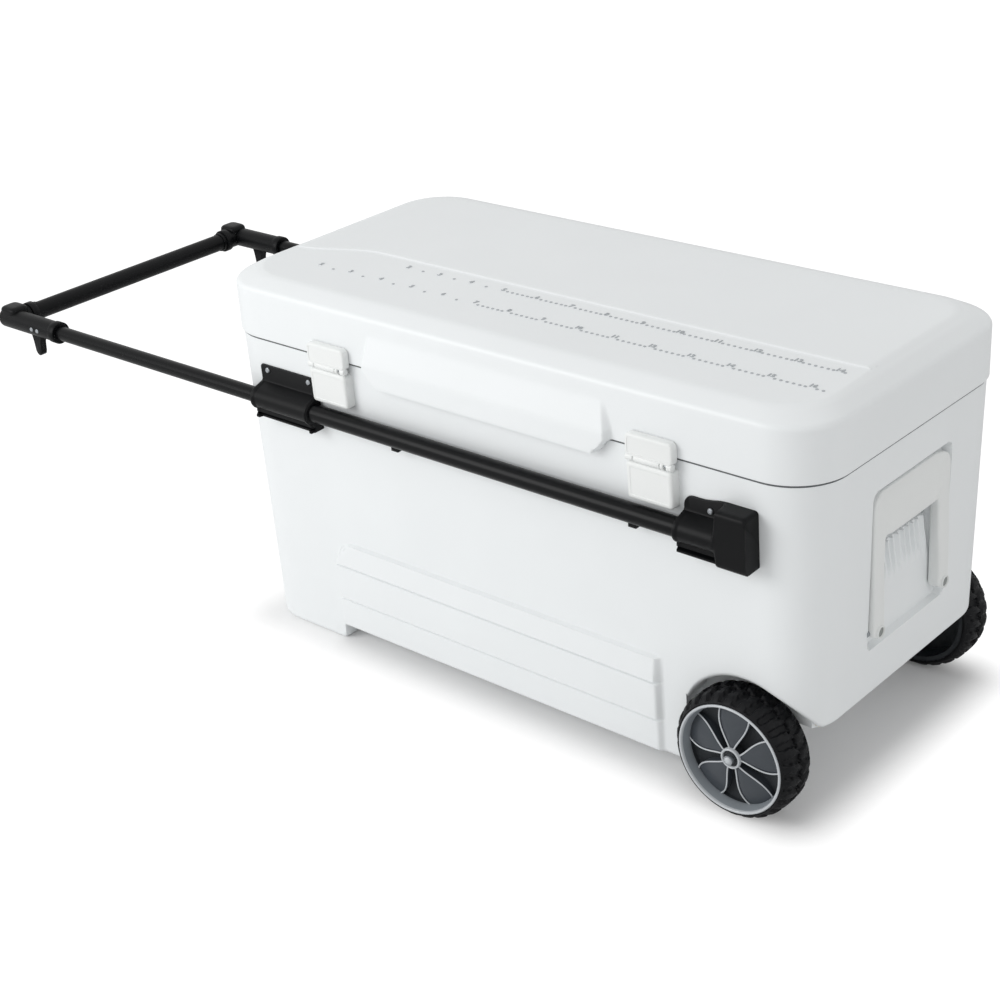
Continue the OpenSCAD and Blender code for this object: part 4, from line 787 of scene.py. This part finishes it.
for name, side in (("front", -1.0), ("back", 1.0)):
    nose = [(nose_x + 0.012 * (1 - np.cos(a)), nose_r * np.sin(a)) for a in np.linspace(0, np.pi / 2, 12)]
    end = fitting_end - corner_x
    barrel = nose + [(end - 0.014, barrel_end_r), (end - 0.0135, 0.0168), (end - 0.0125, cuff_r),
                     (end - 0.0010, cuff_r), (end, 0.0163), (end, 0.0)]
    leg = rail_y - leg_end
    arm = [(0, 0.0), (0, nose_r), (leg - 0.012, nose_r), (leg - 0.0115, 0.0180), (leg - 0.0105, arm_cuff_r),
           (leg - 0.001, arm_cuff_r), (leg, 0.0176), (leg, 0.0)]
    at = (corner_x, side * rail_y, rail_z)
    knuckle_at = (corner_x - 0.004, side * (rail_y - 0.004), rail_z + 0.0075)
    patches = [revolve("x", at, barrel, False),
               revolve("y", at, [(-side * a, r) for a, r in arm], side < 0),
               cushion(knuckle_at, (0.0185, 0.0165, 0.0140), 0.45), stop_tab(side, tab_x, tab_half_t)]
    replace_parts(piece("corner_fitting_skin_" + name, patches, nylon, "tow_handle", sharp=40),
                "corner_fitting_" + name)

# ---- Latches ----
# Two moulded polypropylene latches hold the lid: a pad on the tub with a pivot barrel at its top, and a flap
# that swings up on it and grips a catch on the lid. The pads hide their screws.
pad_half, pad_low, pad_high, pad_r = 0.0340, 0.3945, 0.4450, 0.006
flap_half, flap_low, flap_high, flap_r = 0.0350, 0.4515, 0.4815, 0.0075
barrel_z, barrel_y, knuckle_r, latch_x = 0.4500, 0.2362, 0.0047, 0.269
# Where the pad's three ears and the flap's barrel between them start and end along the pivot.
ear_spans, barrel_span = ((-pad_half, -0.0228), (0.0175, 0.0215), (0.0262, pad_half)), (-0.0216, 0.0163)
# (inset, how far out) from the foot of each moulding's edge, over its rounded rim, to the sunk face
# inside it.
pad_profile = [(0, -0.001), (0, 0.0095), (0.0003, 0.0115), (0.0012, 0.0132), (0.0030, 0.0143),
               (0.0055, 0.0147), (0.0062, 0.0147), (0.0068, 0.0141), (0.0076, 0.0141)]
flap_profile = [(0, 0.0008), (0, 0.0080), (0.0003, 0.0095), (0.0011, 0.0107), (0.0024, 0.0113),
                (0.0042, 0.0114), (0.0046, 0.0108), (0.0052, 0.0108)]


def tub_face(z):
    """The tub's front at height z."""
    return tub_size(z)[1]


def lid_face(z):
    """The lid's front, which is upright where the flap lies on it."""
    return lid_half_w + 0 * z


def tile(mid, z0, z1, half, r, profile, face):
    """A rounded rectangle drawn in the XZ plane: each (inset, out) of the profile is one loop, drawn in
    by inset and standing out from face(z) towards the front; the first and last ones close to a point in
    the middle."""
    stations = ring_stations(np.linspace(-1, 1, 13)[1:-1], np.linspace(-1, 1, 9)[1:-1], 6)
    inset, out = np.array(profile).T[:, :, None]
    x, z = ring_points(stations, half - inset, (z1 - z0) / 2 - inset, np.maximum(r - inset, 0.0004))
    z = z + (z0 + z1) / 2
    x, z = np.concatenate([0 * x[:1], x, 0 * x[:1]]), np.concatenate([z[:1], z, z[:1]])
    z[[0, -1]] = (z0 + z1) / 2
    out = np.concatenate([out[:1], out, out[-1:]])
    return grid(mid + x, -(face(z) + out), z, around=True)


def rod(x0, x1, r):
    """A barrel along the latch's pivot, with rounded ends."""
    length = x1 - x0
    return revolve("x", (x0, -barrel_y, barrel_z),
                   [(0, 0.0), (0, r - 0.0008), (0.0003, r - 0.0002), (0.0008, r), (length - 0.0008, r),
                    (length - 0.0003, r - 0.0002), (length, r - 0.0008), (length, 0.0)], False)


# White polypropylene is a touch warmer than the shell and about as smooth, with a grain drawn 1 mm apart.
latch_plastic = moulded("latch_polypropylene", "#eceeed", "#e5e7e6", 0.4, 0.0010, 0.00008)
for name, middle in (("left", -latch_x), ("right", latch_x)):
    pad = tile(middle, pad_low, pad_high, pad_half, pad_r, pad_profile, tub_face)
    ears = [rod(middle + x0, middle + x1, knuckle_r) for x0, x1 in ear_spans]
    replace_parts(piece("latch_pad_" + name, [pad] + ears, latch_plastic, "tub", sharp=45),
                "latch_base_" + name)
    flap = tile(middle, flap_low, flap_high, flap_half, flap_r, flap_profile, lid_face)
    barrel = rod(middle + barrel_span[0], middle + barrel_span[1], knuckle_r)
    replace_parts(piece("latch_flap_" + name, [flap, barrel], latch_plastic, name + "_latch",
                      sharp=45), "latch_" + name)

# ---- End handles ----
# Each end has a moulded polypropylene bail that lies in its recess and swings up on two pins. Its grip is
# deep and slopes back, its arms end round, and a ringed dimple covers each pin.
pivot_z, arm_out, arm_in, grip_low, grip_top, bail_back = 0.218, 0.0900, 0.0655, 0.3400, 0.3980, 0.4732
barrel_r, swell, arm_t = 0.0082, 0.0035, 0.0150
# (radius, how far it stands out from the arm's face) from the middle of each disc to its hidden back.
ring_profile = [[0, 0.0002], [0.0062, 0.0002], [0.0066, 0.0010], [0.0069, 0.0022], [0.0075, 0.0026],
                [0.0082, 0.0022], [0.0085, 0.0006], [0.0085, -0.0030], [0, -0.0030]]
floor_profile = [[0, 0.0006], [0.0058, 0.0006], [0.0064, 0.0004], [0.0064, -0.001], [0, -0.001]]


def bail_edge(corners, radius, counts):
    """A line of straight stretches and round corners, each with its own count of points."""
    line = rounded(corners, [radius, radius], 20)
    knots = [0, 1, 21, 22, 42, 43]
    out = []
    for a, b, count in zip(knots, knots[1:], counts):
        part = line[a:b + 1]
        step = np.concatenate([[0], np.cumsum(np.hypot(*np.diff(part, axis=0).T))])
        at = np.linspace(0, step[-1], count, endpoint=False)
        out.append(np.stack([np.interp(at, step, part[:, k]) for k in (0, 1)], axis=1))
    return np.concatenate(out + [line[-1:]])


def bail_skin(end):
    """A rounded section is carried from one foot up its arm, across the grip and down the other arm. It
    spans the bail's inner and outer edge. Its front swells towards the feet and at the foot of the grip,
    and the feet are round about the pin: behind = r - sqrt(r squared - drop squared)."""
    counts = [14, 12, 40, 12, 14]
    outer = bail_edge([(-arm_out, pivot_z), (-arm_out, grip_top), (arm_out, grip_top), (arm_out, pivot_z)],
                      0.020, counts)
    inner = bail_edge([(-arm_in, pivot_z), (-arm_in + 0.0025, grip_low), (arm_in - 0.0025, grip_low),
                       (arm_in, pivot_z)], 0.009, counts)
    foot_half, foot_y = (arm_out - arm_in) / 2, (arm_out + arm_in) / 2
    turn = np.linspace(np.pi / 2, 0, 9)[:-1]
    reach, drop = foot_half * np.cos(turn), pivot_z - barrel_r * np.sin(turn)
    left_in, left_out = np.stack([-foot_y + reach, drop], axis=1), np.stack([-foot_y - reach, drop], axis=1)
    mirror_y = np.array([-1, 1])
    inner = np.concatenate([left_in, inner, (left_in * mirror_y)[::-1]])[:, None, :]
    outer = np.concatenate([left_out, outer, (left_out * mirror_y)[::-1]])[:, None, :]
    around = np.linspace(0, 2 * np.pi, 41)[None, :-1]
    share, level = (1 + bend(np.cos(around), 0.42)) / 2, (1 + bend(np.sin(around), 0.42)) / 2
    middle_z = (inner[..., 1] + outer[..., 1]) / 2
    grip = ramp(0.335, 0.362, middle_z) * ramp(0.088, 0.060, np.abs(outer[..., 0]))
    front = arm_t + swell * ramp(0.335, 0.225, middle_z) + grip * (0.0034 - 0.0105 * ramp(0.25, 1.0, share))
    y = inner[..., 0] + share * (outer[..., 0] - inner[..., 0])
    z = inner[..., 1] + share * (outer[..., 1] - inner[..., 1])
    behind = barrel_r - np.sqrt(barrel_r ** 2 - np.clip(pivot_z - z, 0, barrel_r) ** 2)
    return round_grid(*capped(end * (bail_back + behind + level * (front - behind)), y, z), end)


def about_pin(end, y, profile):
    """A profile of (radius, how far it stands out) turned round the pin's place on the arm's face."""
    turn = np.linspace(0, 2 * np.pi, 41)[None, :-1][:, ::int(end)]
    r, out = np.array(profile)[::-1].T[:, :, None]
    x = end * (bail_back + arm_t + swell + out) + 0 * turn
    return grid(x, y + r * np.cos(turn), pivot_z + r * np.sin(turn), around=True)


# The handles' polypropylene is like the latches', with a grain drawn 1.2 mm apart. The caps in the
# dimples are a mid grey and duller.
handle_plastic = moulded("handle_polypropylene", "#e9ebea", "#e2e4e3", 0.38, 0.0012, 0.0001)
pin_cap = moulded("grey_pin_cap", "#8e9290", "#828684", 0.5, 0.0010, 0.0002)
for name, end in (("left", -1.0), ("right", 1.0)):
    body = name + "_end_handle"
    ys = (-(arm_out + arm_in) / 2, (arm_out + arm_in) / 2)
    bail = piece("end_handle_skin_" + name, [bail_skin(end)] + [about_pin(end, y, ring_profile) for y in ys],
                 handle_plastic, body, sharp=50)
    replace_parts(bail, "end_handle_" + name)
    piece("end_handle_dimples_" + name, [about_pin(end, y, floor_profile) for y in ys], pin_cap, body,
          sharp=50)

# ---- Studio ----
# A pale seamless floor, three soft lamps and a white surround. None of it is part of the chest, and the floor
# is staged so that it stays out of the export.
floor_half, glow_half_l, glow_half_w, glow_run = 15, 0.45, 0.20, 0.10


def stage_floor():
    """A matt floor that keeps the shadows near the chest and glows to the camera. The glow grows with the
    distance from the chest's footprint, from a twentieth under it to the whole 100 mm away."""
    mesh = bpy.data.meshes.new("studio_floor")
    corners = [(-floor_half, -floor_half, 0), (floor_half, -floor_half, 0), (floor_half, floor_half, 0),
               (-floor_half, floor_half, 0)]
    mesh.from_pydata(corners, [], [(0, 1, 2, 3)])
    floor = bpy.data.objects.new("studio_floor", mesh)
    bpy.context.scene.collection.objects.link(floor)
    material, tree = finish("pale_floor")
    place = add(tree, "TexCoord", {})
    middle = add(tree, "VectorMath", {"operation": "SUBTRACT", 1: (mid_x, 0, 0)}, {0: (place, "Object")})
    folded = add(tree, "VectorMath", {"operation": "ABSOLUTE"}, {0: (middle, "Vector")})
    past = add(tree, "VectorMath", {"operation": "SUBTRACT", 1: (glow_half_l, glow_half_w, 0)},
               {0: (folded, "Vector")})
    outside = add(tree, "VectorMath", {"operation": "MAXIMUM", 1: (0, 0, 0)}, {0: (past, "Vector")})
    away = add(tree, "VectorMath", {"operation": "LENGTH"}, {0: (outside, "Vector")})
    far = add(tree, "MapRange", {"From Min": 0.0, "From Max": glow_run, "To Min": 0.05, "To Max": 1.0,
                                 "interpolation_type": "SMOOTHSTEP"}, {"Value": (away, "Value")})
    path = add(tree, "LightPath", {})
    share = add(tree, "Math", {"operation": "MULTIPLY"}, {0: (path, "Is Camera Ray"), 1: (far, 0)})
    lit = add(tree, "BsdfDiffuse", {"Color": linear("#f6f6f6")})
    glow = add(tree, "Emission", {"Strength": 1.12})
    both = add(tree, "MixShader", {}, {0: (share, 0), 1: (lit, 0), 2: (glow, 0)})
    add(tree, "OutputMaterial", {}, {"Surface": (both, 0)})
    mesh.materials.append(material)


stage_floor()
# The surround is full white to the camera and in gloss, and lights the chest at about half that.
world = bpy.data.worlds.new("white_surround")
bpy.context.scene.world = world
world.use_nodes = True
surround = world.node_tree
surround.nodes.clear()
path = add(surround, "LightPath", {})
seen = add(surround, "Math", {"operation": "MAXIMUM"},
           {0: (path, "Is Camera Ray"), 1: (path, "Is Glossy Ray")})
level = add(surround, "MapRange", {"To Min": 0.55, "To Max": 1.0}, {"Value": (seen, 0)})
sky = add(surround, "Background", {"Color": (1, 1, 1, 1)}, {"Strength": (level, 0)})
add(surround, "OutputWorld", {}, {"Surface": (sky, 0)})

lamp_aim = Vector((0.3, 0.0, 0.3))
lamps = [("key_lamp", (-1.5, -3.0, 1.9), 2.2, 67), ("top_lamp", (0.4, 0.4, 3.4), 3.0, 13),
         ("end_lamp", (2.8, -0.3, 1.3), 0.9, 5)]
for name, place, size, power in lamps:
    lamp = bpy.data.lights.new(name, "AREA")
    lamp.energy, lamp.size = power, size
    holder = bpy.data.objects.new(name, lamp)
    holder.location = place
    holder.rotation_euler = (lamp_aim - Vector(place)).to_track_quat("-Z", "Y").to_euler()
    bpy.context.scene.collection.objects.link(holder)

# ---- Camera ----
# It stands off the wheel end of the front, looks down at the chest and is rolled by 0.065 radians. The
# lens is a long one, in millimetres for a sensor 36 mm wide.
eye, aim, roll = Vector((1.92296, -1.88098, 1.42188)), Vector((0.21041, 0.0, 0.17714)), -0.065
back = (eye - aim).normalized()
right = Vector((0, 0, 1)).cross(back).normalized()
up = back.cross(right)
side = right * np.cos(roll) + up * np.sin(roll)
top = up * np.cos(roll) - right * np.sin(roll)
camera = bpy.data.objects.new("camera", bpy.data.cameras.new("camera"))
camera.data.sensor_width, camera.data.lens = 36.0, 69.861
camera.matrix_world = Matrix((side, top, back)).transposed().to_4x4()
camera.matrix_world.translation = eye
bpy.context.scene.collection.objects.link(camera)
bpy.context.scene.camera = camera
bpy.context.scene.view_settings.view_transform = "Standard"
